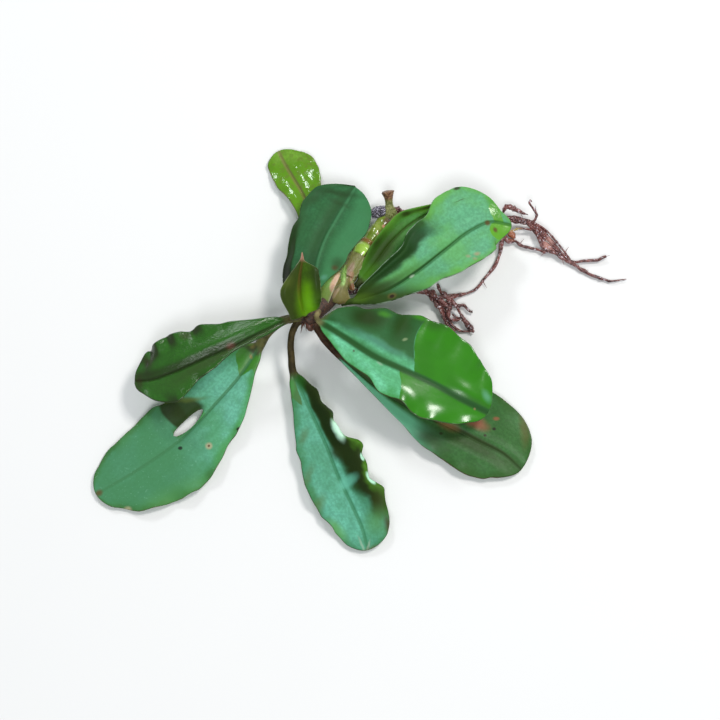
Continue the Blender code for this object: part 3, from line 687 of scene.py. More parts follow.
make_leaf(
    "right_leaf", "leaf_wet", "leaf_right_front", RIGHT_LEAF,
    dry=(0.15, 0.54, 0.305), wet=(0.024, 0.20, 0.0), shade=(0.03, 0.10, 0.02),
    margin=(0.07, 0.065, 0.015), rib=(0.02, 0.09, 0.02), stalk=(0.26, 0.22, 0.10), touches=right_touches,
    slick=0.22, ripple=(3.4, 0.06), vein=(1.1, 0.95),
    # In turn: painted shade in hollows of the upper margin, painted light on its crests, painted sheen on a
    # paler ridge, specks and the tip
    patches=[((1.1, 3.9), (4.6, 2.3), -12, 0.8, (0.018, 0.042, 0.006), 0.95),
             ((10.4, 1.4), (2.6, 3.6), -15, 0.8, (0.02, 0.055, 0.008), 0.9),
             ((11.4, -2.4), (1.8, 2.6), -10, 1.0, (0.03, 0.10, 0.03), 0.6),
             ((20.4, 2.2), (3.6, 1.6), -8, 0.9, (0.018, 0.08, 0.004), 0.7),
             ((5.7, 4.8), (1.5, 0.7), -8, 0.9, (0.06, 0.25, 0.02), 0.7),
             ((15.6, 3.9), (1.8, 0.7), -10, 0.9, (0.05, 0.26, 0.01), 0.7),
             ((4.0, -3.4), (7.5, 0.9), -30, 1.0, (0.06, 0.21, 0.135), 0.85),
             ((-2.8, -5.4), (0.3, 0.3), 0, 0.6, (0.05, 0.03, 0.02), 0.8),
             ((11.3, -2.3), (0.7, 0.35), 20, 0.6, (0.24, 0.32, 0.16), 0.7),
             ((4.4, -9.0), (0.9, 0.3), -30, 0.6, (0.30, 0.42, 0.30), 0.5),
             ((30.6, -20.6), (0.3, 0.3), 0, 0.6, (0.25, 0.18, 0.08), 0.7),
             ((34.0, -17.0), (1.5, 0.9), -60, 0.9, (0.12, 0.36, 0.22), 0.6)])

# Lower right leaf: an older one below it, duller and browner, stained red where it began to die.
# Living leaf with a worn bloom and a brown margin.
# Its long stalk leaves the underside of the crown, and it lies on the surface.
LOWER_RIGHT_LEAF = leaf_skin(
    midrib=[(-16.4, 5.2, 9.4), (-14.4, 4.2, 9.2), (-12.6, 2.0, 8.7), (-11.0, -0.4, 8.2),
            (-9.5, -2.1, 7.9), (-1.7, -9.3, 6.5), (5.9, -15.0, 4.9), (14.3, -19.8, 3.5),
            (23.2, -23.8, 2.4), (32.4, -28.4, 1.8), (39.3, -32.1, 1.5), (43.7, -36.1, 1.2)],
    left=[1.4, 2.2, 3.2, 4.5, 5.8, 7.2, 8.4, 9.7, 11.0, 12.6, 13.9, 14.7, 14.4, 13.7, 12.3, 8.8, 6.0],
    right=[0.8, 1.1, 1.4, 1.9, 2.5, 3.4, 4.5, 5.8, 7.5, 8.7, 9.1, 9.6, 10.2, 9.7, 8.7, 6.7, 4.6],
    blade_from=0.186, tip_round=0.07, lift=((6, 5, 4), (12, 7, 4)), curl=(0.05, 0.07),
    crest=[(LEFT, 1.6, 1.3, [0.2, 0.4, 0.5, 0.5, 0.3]), (RIGHT, 4.4, 1.8, [0, 0.2, 0.4, 0.5, 0.3])],
    groove=0.25,
    ruffles=[(RIGHT, 0.5, [(0.42, 0.04, 0.3), (0.5, 0.04, -0.3), (0.58, 0.04, 0.5), (0.66, 0.035, -0.3),
                           (0.74, 0.04, 0.4), (0.82, 0.035, -0.3), (0.91, 0.03, 0.3)]),
             (LEFT, 0.5, [(0.55, 0.045, 0.5), (0.68, 0.04, -0.4), (0.78, 0.04, 0.6), (0.87, 0.035, -0.3),
                          (0.95, 0.03, 0.4)])],
    stalk=(1.2, 1.2, 1.1))


def lower_right_touches(leaf, tone):
    """Painted light on a pale blue green strip along its near half, from the stalk out to its middle, where
    the leaf above shades it.
    """
    # Painted light on the strip that the leaf above shades
    strip = leaf.step(leaf.mark("along"), 40, 26) * leaf.step(leaf.mark("share"), 0.15, 0.5)
    return leaf.mix(strip * 0.85, tone, (0.19, 0.60, 0.36))


make_leaf(
    "lower_right_leaf", "leaf_dry", "leaf_right_lower", LOWER_RIGHT_LEAF,
    dry=(0.05, 0.165, 0.045), wet=(0.025, 0.085, 0.01), shade=(0.026, 0.05, 0.008),
    margin=(0.12, 0.075, 0.03), rib=(0.03, 0.07, 0.02), stalk=(0.06, 0.028, 0.014), damp=0.1, slick=0.35,
    touches=lower_right_touches, turned_by=(0.2, 0.45),
    # In turn: red stains, dark specks, painted shade in olive hollows and a browned end
    patches=[((31.0, -22.6), (3.4, 1.5), -25, 0.7, (0.36, 0.10, 0.07), 0.75),
             ((23.4, -23.6), (2.8, 1.2), -25, 0.8, (0.28, 0.14, 0.05), 0.7),
             ((37.0, -21.6), (0.8, 0.5), 0, 0.6, (0.28, 0.10, 0.05), 0.8),
             ((21.5, -26.0), (0.5, 0.4), 0, 0.5, (0.02, 0.015, 0.01), 0.9),
             ((36.4, -24.5), (0.5, 0.4), 0, 0.5, (0.02, 0.015, 0.01), 0.9),
             ((33.8, -26.4), (0.4, 0.4), 0, 0.5, (0.03, 0.02, 0.01), 0.9),
             ((30.5, -29.4), (11.0, 1.9), -25, 0.9, (0.03, 0.055, 0.012), 0.75),
             ((18.6, -27.6), (2.6, 4.4), 50, 0.8, (0.03, 0.055, 0.012), 0.8),
             ((44.8, -24.0), (1.2, 5.0), 0, 0.8, (0.13, 0.09, 0.03), 0.5)])

# Lower left leaf: the longest and broadest, with a tear beside its midrib, where its margin lifts.
# Living leaf, evenly bloomed, specked and freckled, wet and green where it leaves its olive stalk.
# Its stalk leaves the left of the crown, and its blade lies on the surface.
LOWER_LEFT_LEAF = leaf_skin(
    midrib=[(-16.8, 5.2, 10.6), (-19.8, 5.1, 11.0), (-22.4, 4.5, 11.0), (-25.2, 3.1, 10.4),
            (-27.6, 0.9, 9.4), (-29.1, -1.9, 8.2), (-34.7, -10.0, 5.1), (-41.7, -17.8, 3.1),
            (-51.1, -27.6, 2.1), (-62.3, -35.8, 1.7), (-74.4, -43.0, 1.1)],
    left=[0.9, 2.2, 3.2, 5.1, 7.2, 9.3, 10.3, 10.7, 12.5, 13.8, 14.4, 13.9, 13.0, 11.8, 10.2, 6.7, 4.4],
    right=[5.2, 6.6, 7.4, 8.0, 8.4, 8.9, 9.4, 9.8, 10.4, 12.0, 11.9, 11.4, 10.7, 9.9, 9.1, 6.4, 4.2],
    blade_from=0.193, tip_round=0.05, lift=((5, 4, 3), (6, 4, 3)), curl=(0.05, 0.04), groove=0.2,
    bends=[(RIGHT, 0.25, 0.95, [0, 0, 0, 0, 0.2, 1.5, 1.9, 0.8, 0, 0, 0, 0, 0])],
    crest=[(LEFT, 1.5, 1.4, [0.1, 0.2, 0.3, 0.2, 0.1]), (RIGHT, 1.5, 1.4, [0.1, 0.2, 0.2, 0.2, 0.1])],
    ruffles=[(LEFT, 0.6, [(0.22, 0.04, -0.3), (0.33, 0.04, 0.5), (0.42, 0.035, -0.3), (0.52, 0.04, 0.8),
                          (0.59, 0.03, -0.6), (0.66, 0.03, 0.8), (0.73, 0.03, -0.6), (0.82, 0.04, 0.7),
                          (0.91, 0.035, -0.4)]),
             (RIGHT, 0.6, [(0.62, 0.04, 0.4), (0.7, 0.035, -0.3), (0.79, 0.04, 0.5), (0.88, 0.035, -0.4)])],
    wet=lambda rings, marks: np.maximum(
        inside(rings, [(-28.2, 0.6), (-31.5, 1.5), (-36.0, -4.0), (-34.9, -10.4), (-31.0, -8.2),
                       (-28.0, -3.0)]),
        inside(rings, [(-29.6, 0.4), (-31.4, -4.5), (-31.7, -7.4), (-30.3, -10.0), (-27.6, -9.9),
                       (-27.2, -0.5)])),
    tear=(0.175, 0.483, 0.088, 1.35), stalk=(1.15, 1.4, 1.7, 1.85, 1.7))


def lower_left_touches(leaf, tone):
    """Bluish at its base and greener from its middle on, with a worn, darker margin there and a fine
    pale speckle wherever it is dry."""
    along = leaf.mark("along")
    tone = leaf.fade(along + 0.5 * leaf.mark("across"), tone, (0.048, 0.185, 0.072), 14, 40, 0.85)
    worn = leaf.step(leaf.mark("edge") + 3 * (leaf.noise(3, 3) - 0.5), 1.8, 0.1) * leaf.step(along, 25, 40)
    tone = leaf.mix(worn * 0.6, tone, (0.04, 0.12, 0.02))
    speckle = leaf.step(leaf.noise(0.6, 1), 0.66, 0.76) * (1 - leaf.step(leaf.mark("wet"), -0.3, 0.3))
    return leaf.mix(speckle * 0.22, tone, (0.22, 0.50, 0.34))


make_leaf(
    "lower_left_leaf", "leaf_dry", "leaf_left_lower", LOWER_LEFT_LEAF,
    dry=(0.16, 0.50, 0.35), wet=(0.045, 0.26, 0.012), shade=(0.028, 0.052, 0.01),
    margin=(0.11, 0.085, 0.035), rib=(0.05, 0.17, 0.07), stalk=(0.12, 0.115, 0.035),
    touches=lower_left_touches, slick=0.4,
    # In turn: yellow spots at the base, black specks, a ringed spot and a pale one, the fold at the tear in
    # painted shade with its rim, a greener near margin and a browned tip
    patches=[((-31.0, -2.4), (0.6, 0.4), 20, 0.9, (0.26, 0.20, 0.05), 0.8),
             ((-31.6, -4.9), (0.35, 0.5), 20, 0.9, (0.26, 0.18, 0.04), 0.8),
             ((-34.9, -24.9), (0.7, 0.5), 10, 0.4, (0.01, 0.008, 0.008), 0.95),
             ((-51.2, -30.1), (0.6, 0.5), 10, 0.4, (0.01, 0.008, 0.008), 0.9),
             ((-43.2, -29.5), (0.9, 0.9), 0, 0.5, (0.42, 0.36, 0.22), 0.8),
             ((-43.2, -29.5), (0.35, 0.35), 0, 0.5, (0.10, 0.05, 0.03), 0.9),
             ((-65.5, -47.3), (1.0, 0.8), 0, 0.6, (0.40, 0.36, 0.22), 0.8),
             ((-53.2, -20.4), (5.8, 2.7), -48, 0.2, (0.018, 0.036, 0.005), 0.95),
             ((-49.9, -19.0), (4.9, 2.9), 5, 0.25, (0.018, 0.036, 0.005), 0.95),
             ((-51.0, -16.6), (5.4, 0.6), 6, 0.8, (0.08, 0.12, 0.02), 0.8),
             ((-52.5, -43.5), (9.0, 2.6), 24, 1.0, (0.07, 0.24, 0.06), 0.6),
             ((-73.6, -42.6), (1.0, 0.8), 30, 0.6, (0.10, 0.06, 0.02), 0.8)])

# Upper left leaf: a dark one with a wavy margin, its lower half turned down along most of its length.
# Living leaf with a thin dark bloom, pitted and wet enough to glint.
# It springs from the left of the crown over the lower left leaf.
UPPER_LEFT_LEAF = leaf_skin(
    midrib=[(-16.2, 6.2, 11.2), (-18.6, 5.2, 12.7), (-21.9, 3.4, 14.3), (-27.8, 0.0, 15.7),
            (-35.2, -4.0, 15.7), (-43.8, -7.4, 14.1), (-53.1, -10.9, 11.5), (-59.7, -12.4, 9.1),
            (-63.9, -12.1, 7.1)],
    left=[0.8, 1.1, 1.4, 1.4, 1.2, 1.1, 1.3, 2.2, 3.4, 4.2, 4.7, 6.4, 8.4, 7.8, 6.1, 3.6, 2.6],
    right=[0.7, 2.0, 3.2, 4.4, 5.8, 7.0, 7.7, 8.6, 9.7, 9.4, 10.3, 10.7, 10.5, 9.9, 8.9, 8.4, 6.2],
    blade_from=0.11, tip_round=0.06, lift=((-14, -10, -4, 4, 4), (6, 8, 8, 8, 4)), curl=(0.03, 0.1),
    crest=[(RIGHT, 2.7, 1.8, [0.5, 0.9, 1.0, 0.8, 0.5, 0.3])], groove=0.3,
    ruffles=[(RIGHT, 0.45, [(0.39, 0.04, -0.3), (0.48, 0.035, 0.6), (0.565, 0.035, -0.8),
                            (0.65, 0.035, 0.5), (0.72, 0.03, -0.4), (0.79, 0.035, 0.9), (0.87, 0.035, -0.9),
                            (0.95, 0.03, 0.5)]),
             (LEFT, 0.4, [(0.55, 0.04, 0.3), (0.64, 0.04, -0.4), (0.74, 0.04, 0.5), (0.83, 0.04, -0.4),
                          (0.92, 0.03, 0.4)])],
    stalk=(1.3, 1.2, 1.1))


def upper_left_touches(leaf, tone):
    """A grey brown flush beside the midrib along the lower half."""
    flush = leaf.band(leaf.mark("share"), -0.9, -0.35, -0.2, 0.02) * leaf.step(leaf.mark("along"), 48, 24)
    return leaf.mix(flush * 0.5, tone, (0.035, 0.038, 0.014))


make_leaf(
    "upper_left_leaf", "leaf_dry", "leaf_left_upper", UPPER_LEFT_LEAF,
    dry=(0.026, 0.14, 0.01), wet=(0.014, 0.085, 0.002), shade=(0.014, 0.034, 0.003),
    margin=(0.05, 0.06, 0.02), rib=(0.014, 0.035, 0.005), pits=0.8, bloom=0.7, damp=0.9, slick=0.12,
    ripple=(0.7, 0.09), touches=upper_left_touches, turned_by=(0.22, 0.5),
    patches=[((-36.8, -4.2), (1.1, 0.7), 20, 0.9, (0.12, 0.045, 0.03), 0.85),
             ((-49.3, -0.7), (1.6, 1.0), 10, 0.9, (0.028, 0.035, 0.008), 0.7),
             ((-60.4, -6.9), (1.0, 1.8), 30, 0.9, (0.02, 0.02, 0.004), 0.75),
             ((-62.5, -12.6), (1.0, 2.0), 10, 0.8, (0.022, 0.018, 0.004), 0.65),
             ((-21.0, 5.0), (3.0, 1.2), -25, 0.9, (0.10, 0.14, 0.03), 0.6)])

# Upper right leaf: a broad one to the right of the stem, its left margin rolled up, its tip eaten away.
# Living leaf, bloomed along a high crest, with a burnt hole and a wet, rotting green tip.
# It springs from the right of the crown and arches over the roots.
UPPER_RIGHT_LEAF = leaf_skin(
    midrib=[(-6.3, 9.8, 10.1), (-2.7, 10.2, 10.9), (1.5, 11.0, 11.9), (6.7, 12.5, 13.1),
            (14.2, 17.0, 14.3), (22.7, 24.0, 14.1), (29.8, 30.1, 12.7), (35.7, 33.4, 10.9),
            (41.9, 33.2, 8.9)],
    left=[0.9, 1.4, 3.2, 4.4, 5.5, 6.4, 7.0, 7.5, 7.8, 8.1, 8.3, 8.6, 9.1, 10.2, 11.0, 11.3, 11.3, 11.1,
          11.4, 12.6, 13.5, 13.6, 13.5, 13.1, 11.5, 7.6, 4.0, 2.6, 2.0],
    right=[0.9, 1.2, 1.7, 2.2, 2.6, 2.8, 3.1, 3.4, 3.8, 4.5, 5.2, 5.6, 5.6, 5.9, 6.7, 7.4, 8.0, 8.1,
           8.4, 8.7, 8.9, 8.8, 8.7, 8.3, 7.7, 7.6, 6.2, 4.2, 3.0],
    blade_from=0.04, tip_round=0.05, lift=((8, 6, 5, 4, 2), (-6, -4, 2, 2, 0)), curl=(0.04, 0.06),
    bends=[(LEFT, 0.5, 0.85, [0, -0.4, -1.0, -1.3, -1.2, -0.7, -0.1, 0, 0, 0, 0]),
           (LEFT, 0.82, 1.0, [0, 0.5, 0.9, 1.0, 0.9, 0.7, 0.2, 0, 0, 0, 0])],
    crest=[(LEFT, 3.2, 2.6, [0.2, 0.8, 1.2, 1.3, 1.1, 0.6, 0.3, 0])], groove=0.3,
    ruffles=[(LEFT, 0.5, [(0.53, 0.03, -0.4), (0.6, 0.03, 0.5), (0.66, 0.025, -0.4), (0.8, 0.03, 0.4),
                          (0.86, 0.02, -0.4)]),
             (RIGHT, 0.55, [(0.36, 0.04, 0.3), (0.46, 0.04, -0.3), (0.58, 0.04, 0.3), (0.7, 0.04, -0.4),
                            (0.8, 0.03, 0.3), (0.87, 0.02, -0.4)])],
    wet=lambda rings, marks: np.maximum(near(rings, (38.0, 31.2), (42.8, 30.8), 2.6),
                                        near(rings, (36.6, 37.6), (38.6, 33.0), 1.3)))


def upper_right_touches(leaf, tone):
    """Painted shade in the hollow between the crest and the left margin, a duller green below the midrib,
    and olive where the blade begins."""
    share, along, wander = leaf.mark("share"), leaf.mark("along"), leaf.noise(5, 2) - 0.5
    # Painted shade in the hollow
    hollow = leaf.step(share + 0.4 * wander, -0.36, -0.62) * leaf.step(along, 38, 28)
    tone = leaf.mix(hollow * 0.95, tone, (0.010, 0.040, 0.006))
    below = leaf.step(share, 0.02, 0.2) * leaf.step(along, 33, 14)
    tone = leaf.mix(below * 0.6, tone, (0.055, 0.20, 0.085))
    return leaf.fade(along - 7 * share, tone, (0.022, 0.048, 0.002), 17, 7, 0.93)


make_leaf(
    "upper_right_leaf", "leaf_dry", "leaf_upper_right", UPPER_RIGHT_LEAF,
    dry=(0.115, 0.385, 0.20), wet=(0.11, 0.36, 0.02), shade=(0.022, 0.06, 0.012),
    margin=(0.40, 0.54, 0.40), rib=(0.02, 0.10, 0.025), stalk=(0.05, 0.10, 0.01), turned_by=(0.16, 0.45),
    touches=upper_right_touches, slick=0.2, ripple=(1.6, 0.09), vein=(0.8, 0.7),
    # In turn: the burnt hole, a scar, brown and black spots, painted shade in a crease, the stained, eaten
    # tip, and olive at the base
    patches=[((7.8, 11.0), (1.1, 0.7), 15, 0.6, (0.15, 0.11, 0.03), 0.6),
             ((7.8, 10.9), (0.7, 0.45), 15, 0.4, (0.02, 0.01, 0.006), 0.95),
             ((13.4, 16.3), (0.7, 0.35), 30, 0.6, (0.36, 0.46, 0.34), 0.7),
             ((31.7, 23.3), (0.8, 0.45), 20, 0.9, (0.36, 0.27, 0.16), 0.7),
             ((29.2, 22.4), (0.6, 0.4), 0, 0.9, (0.32, 0.27, 0.16), 0.6),
             ((31.1, 21.8), (0.6, 0.4), 0, 0.9, (0.32, 0.27, 0.16), 0.5),
             ((26.3, 42.9), (1.0, 0.5), 20, 0.5, (0.03, 0.03, 0.02), 0.9),
             ((27.2, 39.3), (1.7, 0.14), 28, 0.5, (0.05, 0.12, 0.04), 0.7),
             ((34.9, 33.0), (0.7, 0.8), 20, 0.6, (0.10, 0.05, 0.015), 0.85),
             ((37.1, 31.2), (0.6, 0.7), 20, 0.6, (0.10, 0.04, 0.015), 0.85),
             ((37.0, 37.4), (1.1, 3.6), 26, 0.7, (0.06, 0.26, 0.02), 0.85),
             ((41.6, 28.0), (1.2, 0.6), -30, 0.7, (0.30, 0.12, 0.03), 0.8),
             ((-1.6, 10.6), (3.4, 1.1), 8, 0.8, (0.06, 0.13, 0.006), 0.7)])

# Small right leaf: a narrow one held under the upper right leaf.
# Living leaf, bright green along its edges and at its base, and dark along its middle.
# It springs from the rhizome beside the middle leaf base.
SMALL_RIGHT_LEAF = leaf_skin(
    midrib=[(-2.3, 15.2, 8.3), (-0.3, 17.6, 8.3), (3.1, 21.9, 8.5), (7.7, 28.4, 8.1),
            (12.5, 33.4, 7.5), (18.8, 37.6, 6.7), (24.3, 40.0, 6.1)],
    left=[1.5, 2.2, 2.8, 3.3, 3.7, 3.9, 4.0, 4.1, 4.3, 4.5, 4.4, 3.8, 3.1, 2.5, 2.0, 1.5, 1.0],
    right=[2.6, 3.8, 4.5, 4.8, 5.1, 5.4, 5.6, 5.6, 5.5, 5.4, 5.2, 4.8, 4.5, 4.1, 3.6, 2.5, 1.6],
    blade_from=0.04, tip_round=0.1, lift=((12, 16, 14), (-8, -8, -8)), curl=(0.05, 0.05),
    bends=[(LEFT, 0.4, 1.0, [0, 0.6, 1.2, 1.0, 0.8, 0.6, 0.3])],
    ruffles=[(LEFT, 0.5, [(0.35, 0.05, 0.3), (0.52, 0.05, -0.3), (0.66, 0.04, 0.3)])])
make_leaf(
    "small_right_leaf", "leaf_wet", "leaf_upper_right_lower", SMALL_RIGHT_LEAF,
    dry=(0.065, 0.25, 0.045), wet=(0.08, 0.24, 0.005), shade=(0.02, 0.04, 0.003),
    margin=(0.16, 0.13, 0.05), rib=(0.03, 0.07, 0.006), stalk=(0.03, 0.04, 0.008), damp=0.05, slick=0.4,
    ripple=(3.0, 0.1),
    patches=[((5.3, 25.4), (2.7, 8.6), -35, 0.9, (0.016, 0.04, 0.001), 0.95),
             ((1.0, 18.0), (1.7, 3.4), -40, 0.9, (0.05, 0.17, 0.002), 0.85),
             ((-1.6, 15.6), (2.2, 1.6), -40, 0.8, (0.03, 0.05, 0.003), 0.95)])

# Back leaf: a smooth oval, deep blue green, its left margin turned down.
# Living leaf with a thin even bloom and a raised midrib.
# It springs from the back of the crown and leans over the stalk of the leaf behind it.
BACK_LEAF = leaf_skin(
    midrib=[(-16.1, 7.8, 13.1), (-15.3, 11.4, 13.3), (-14.2, 14.4, 13.3), (-12.6, 22.3, 12.7),
            (-10.4, 28.9, 11.5), (-7.6, 34.6, 10.1), (-4.5, 40.9, 8.1), (-2.4, 45.4, 6.1)],
    left=[2.4, 8.0, 9.1, 9.4, 9.5, 9.2, 9.7, 10.0, 10.3, 9.9, 10.8, 11.2, 10.8, 10.3, 9.4, 7.9, 5.8],
    right=[0.8, 1.9, 2.6, 4.1, 6.2, 7.3, 7.6, 7.7, 8.2, 8.6, 9.1, 9.3, 8.9, 8.3, 7.4, 6.6, 6.0],
    blade_from=0.05, tip_round=0.17, lift=((6, 4, 2), (5, 4, 2)), curl=(0.08, 0.08),
    crest=[(LEFT, 0.1, 0.6, [0.1, 0.35, 0.4, 0.35, 0.2]), (LEFT, 2.3, 1.6, [0, -0.2, -0.4, -0.3, -0.1])],
    groove=0.0,
    bends=[(LEFT, 0.72, 1.0, [-3.4, -3.2, -2.6, -1.8, -0.8, -0.2, 0.2, 0.4, 0.5]),
           (LEFT, 0.2, 0.75, [0, 0, 0, 0, 0, 0.1, 0.3, 0.4, 0.1])],
    ruffles=[(LEFT, 0.6, [(0.37, 0.05, -0.3), (0.5, 0.05, 0.3), (0.62, 0.05, -0.2), (0.8, 0.05, 0.3)]),
             (RIGHT, 0.6, [(0.3, 0.06, 0.2), (0.45, 0.06, -0.2), (0.62, 0.06, 0.2), (0.78, 0.05, -0.2)])])


def back_touches(leaf, tone):
    """Painted light, lighter and bluer, on the right half, and painted shade in a broad valley left of the
    midrib.
    """
    share = leaf.mark("share")
    # Painted light on the right half
    tone = leaf.fade(share, tone, (0.05, 0.22, 0.085), 0.05, 0.5, 0.6)
    # Painted shade in the valley left of the midrib
    return leaf.mix(leaf.band(share, -0.42, -0.2, -0.12, -0.02) * 0.6, tone, (0.022, 0.065, 0.02))


make_leaf(
    "back_leaf", "leaf_dry", "leaf_back", BACK_LEAF,
    dry=(0.028, 0.128, 0.046), wet=(0.02, 0.085, 0.02), shade=(0.015, 0.04, 0.008),
    margin=(0.10, 0.13, 0.05), rib=(0.055, 0.2, 0.085), touches=back_touches, turned_by=(0.2, 0.45),
    vein=(0.55, 0.5),
    # In turn: a brown spot and painted shade in its hollow, a pale scar, painted shade in folds near the
    # tip and on the turned-down margin
    patches=[((-8.1, 19.2), (0.8, 0.7), 0, 0.9, (0.10, 0.04, 0.015), 0.85),
             ((-7.4, 20.4), (1.6, 1.8), 0, 1.0, (0.02, 0.05, 0.012), 0.7),
             ((-11.2, 16.3), (0.9, 0.6), 30, 0.8, (0.10, 0.30, 0.20), 0.6),
             ((-8.0, 43.2), (5.5, 0.9), -6, 1.1, (0.016, 0.045, 0.012), 0.8),
             ((-14.6, 40.4), (3.2, 1.2), 38, 1.1, (0.02, 0.055, 0.016), 0.6),
             ((-7.0, 39.8), (3.2, 0.7), -28, 1.1, (0.02, 0.055, 0.016), 0.6),
             ((-19.4, 31.5), (1.1, 3.6), -12, 0.8, (0.015, 0.035, 0.008), 0.9),
             ((-21.9, 19.0), (1.7, 5.6), 4, 0.8, (0.008, 0.014, 0.004), 0.95)])

# Far left leaf: a thin yellow green one behind the back leaf, wet but for its tip.
# Living leaf, paler than the rest, with a tan midrib.
# Its long stalk runs under the back leaf, and it lies on its tip.
FAR_LEAF = leaf_skin(
    midrib=[(-14.7, 10.2, 8.3), (-14.7, 13.9, 6.7), (-14.1, 19.4, 4.8), (-13.9, 27.4, 3.5),
            (-15.0, 36.3, 3.6), (-17.0, 43.0, 3.5), (-20.6, 50.2, 1.7), (-22.6, 53.8, 1.2),
            (-24.8, 58.4, 1.2)],
    left=[1.0, 1.6, 2.0, 2.2, 2.4, 2.8, 3.2, 3.4, 3.6, 4.0, 4.5, 4.8, 5.4, 5.4, 5.1, 4.8, 3.6],
    right=[1.0, 1.2, 1.5, 1.8, 2.2, 2.6, 3.1, 3.7, 4.4, 5.2, 6.2, 7.4, 8.1, 8.3, 7.5, 6.0, 4.2],
    blade_from=0.2, tip_round=0.09, lift=((5, 5), (6, 6)), curl=(0.06, 0.06), groove=0.3,
    crest=[(RIGHT, 2.2, 1.6, [0, 0.1, 0.3, 0.3, 0.1]), (LEFT, 2.2, 1.6, [0, 0.1, 0.2, 0.2, 0.1])],
    ruffles=[(RIGHT, 0.5, [(0.62, 0.03, -0.4), (0.7, 0.03, 0.5), (0.79, 0.03, -0.5), (0.87, 0.03, 0.6),
                           (0.94, 0.02, -0.4)]),
             (LEFT, 0.5, [(0.62, 0.03, 0.4), (0.71, 0.03, -0.4), (0.8, 0.03, 0.4), (0.9, 0.03, -0.4)])],
    wet=lambda rings, marks: (55.0 - rings[..., 1]) / 10)


def far_touches(leaf, tone):
    """Fine brown mottling all over."""
    return leaf.fade(leaf.noise(1.3, 4), tone, (0.11, 0.15, 0.02), 0.52, 0.66, 0.5)


make_leaf(
    "far_leaf", "leaf_yellow", "leaf_back_left", FAR_LEAF,
    dry=(0.15, 0.32, 0.03), wet=(0.105, 0.275, 0.004), shade=(0.06, 0.16, 0.006),
    margin=(0.20, 0.12, 0.05), rib=(0.20, 0.15, 0.07), touches=far_touches, slick=0.14,
    ripple=(1.5, 0.16), vein=(0.8, 0.6))

# Young leaf: the newest one, still folded along its midrib and drawn out into a fine point.
# Soft living leaf, olive in painted shade on its left half, and bright green in painted light low on its
# right half, where light comes in.
# It stands up from the tip of the rhizome and leans back.
YOUNG_LEAF = leaf_skin(
    midrib=[(-16.5, 5.6, 13.6), (-17.0, 6.6, 16.4), (-17.5, 8.2, 18.9), (-17.7, 10.3, 21.1),
            (-17.6, 14.0, 23.1), (-17.0, 18.4, 24.6), (-17.0, 20.0, 25.1)],
    left=[1.4, 2.6, 4.9, 5.1, 5.2, 5.6, 6.1, 6.4, 6.2, 5.2, 4.1, 3.1, 2.2, 1.5, 0.8, 0.35, 0.2],
    right=[2.0, 4.4, 5.0, 5.4, 6.0, 6.3, 6.5, 6.6, 6.6, 6.5, 6.3, 6.0, 5.6, 4.8, 1.1, 0.4, 0.2],
    blade_from=0.0, tip_round=0.03, lift=((30, 34, 30, 20), (24, 26, 24, 16)), curl=(0.06, 0.08),
    groove=0.3, bends=[(LEFT, 0.7, 1.0, [0, -0.4, -0.8, -0.9, -0.6, 0]),
                       (RIGHT, 0.75, 1.0, [0, -0.4, -0.7, -0.6, 0])])


def shaded_half_stripe_and_spike(leaf, tone):
    """Painted shade, olive brown, on the left half, a brown stripe along the midrib, and a pink spike at
    the tip.
    """
    share = leaf.mark("share")
    # Painted shade on the left half
    tone = leaf.fade(share, tone, (0.032, 0.052, 0.005), 0.0, -0.25, 0.9)
    tone = leaf.mix(leaf.band(share, -0.2, -0.06, 0.0, 0.14) * 0.85, tone, (0.09, 0.07, 0.015))
    return leaf.fade(leaf.mark("along"), tone, (0.34, 0.17, 0.12), 16.6, 18.2)


make_leaf(
    "young_leaf", "leaf_young", "leaf_young", YOUNG_LEAF,
    dry=(0.042, 0.10, 0.004), wet=(0.035, 0.085, 0.002), shade=(0.02, 0.04, 0.003),
    margin=(0.30, 0.36, 0.18), rib=(0.09, 0.08, 0.012), stalk=(0.13, 0.28, 0.015), damp=0.12, slick=0.35,
    touches=shaded_half_stripe_and_spike, turned_by=(0.7, 1.0),
    # The first patch is painted light, bright green low on the right half
    patches=[((-15.0, 7.0), (2.3, 3.6), 0, 1.1, (0.17, 0.46, 0.0), 1.0),
             ((-12.5, 12.2), (2.0, 5.9), 6, 0.9, (0.016, 0.032, 0.003), 0.94),
             ((-21.6, 12.0), (1.6, 1.6), 0, 1.0, (0.08, 0.11, 0.015), 0.6)])

# Leaf bases: thin papery sheaths that wrapped each leaf while it was a bud, now torn and soaked.
# One is wound round the stem on the crown's side of its node, one is a green and a pink strip above a bell
# of old tissue, and one stands off the stem as a wedge with a pink inside.
SHEATH_THICKNESS = 0.3
SHEATH_STAND_OFF = 0.35
SHEATH_STATIONS = 48
SHEATH_COLUMNS = 32


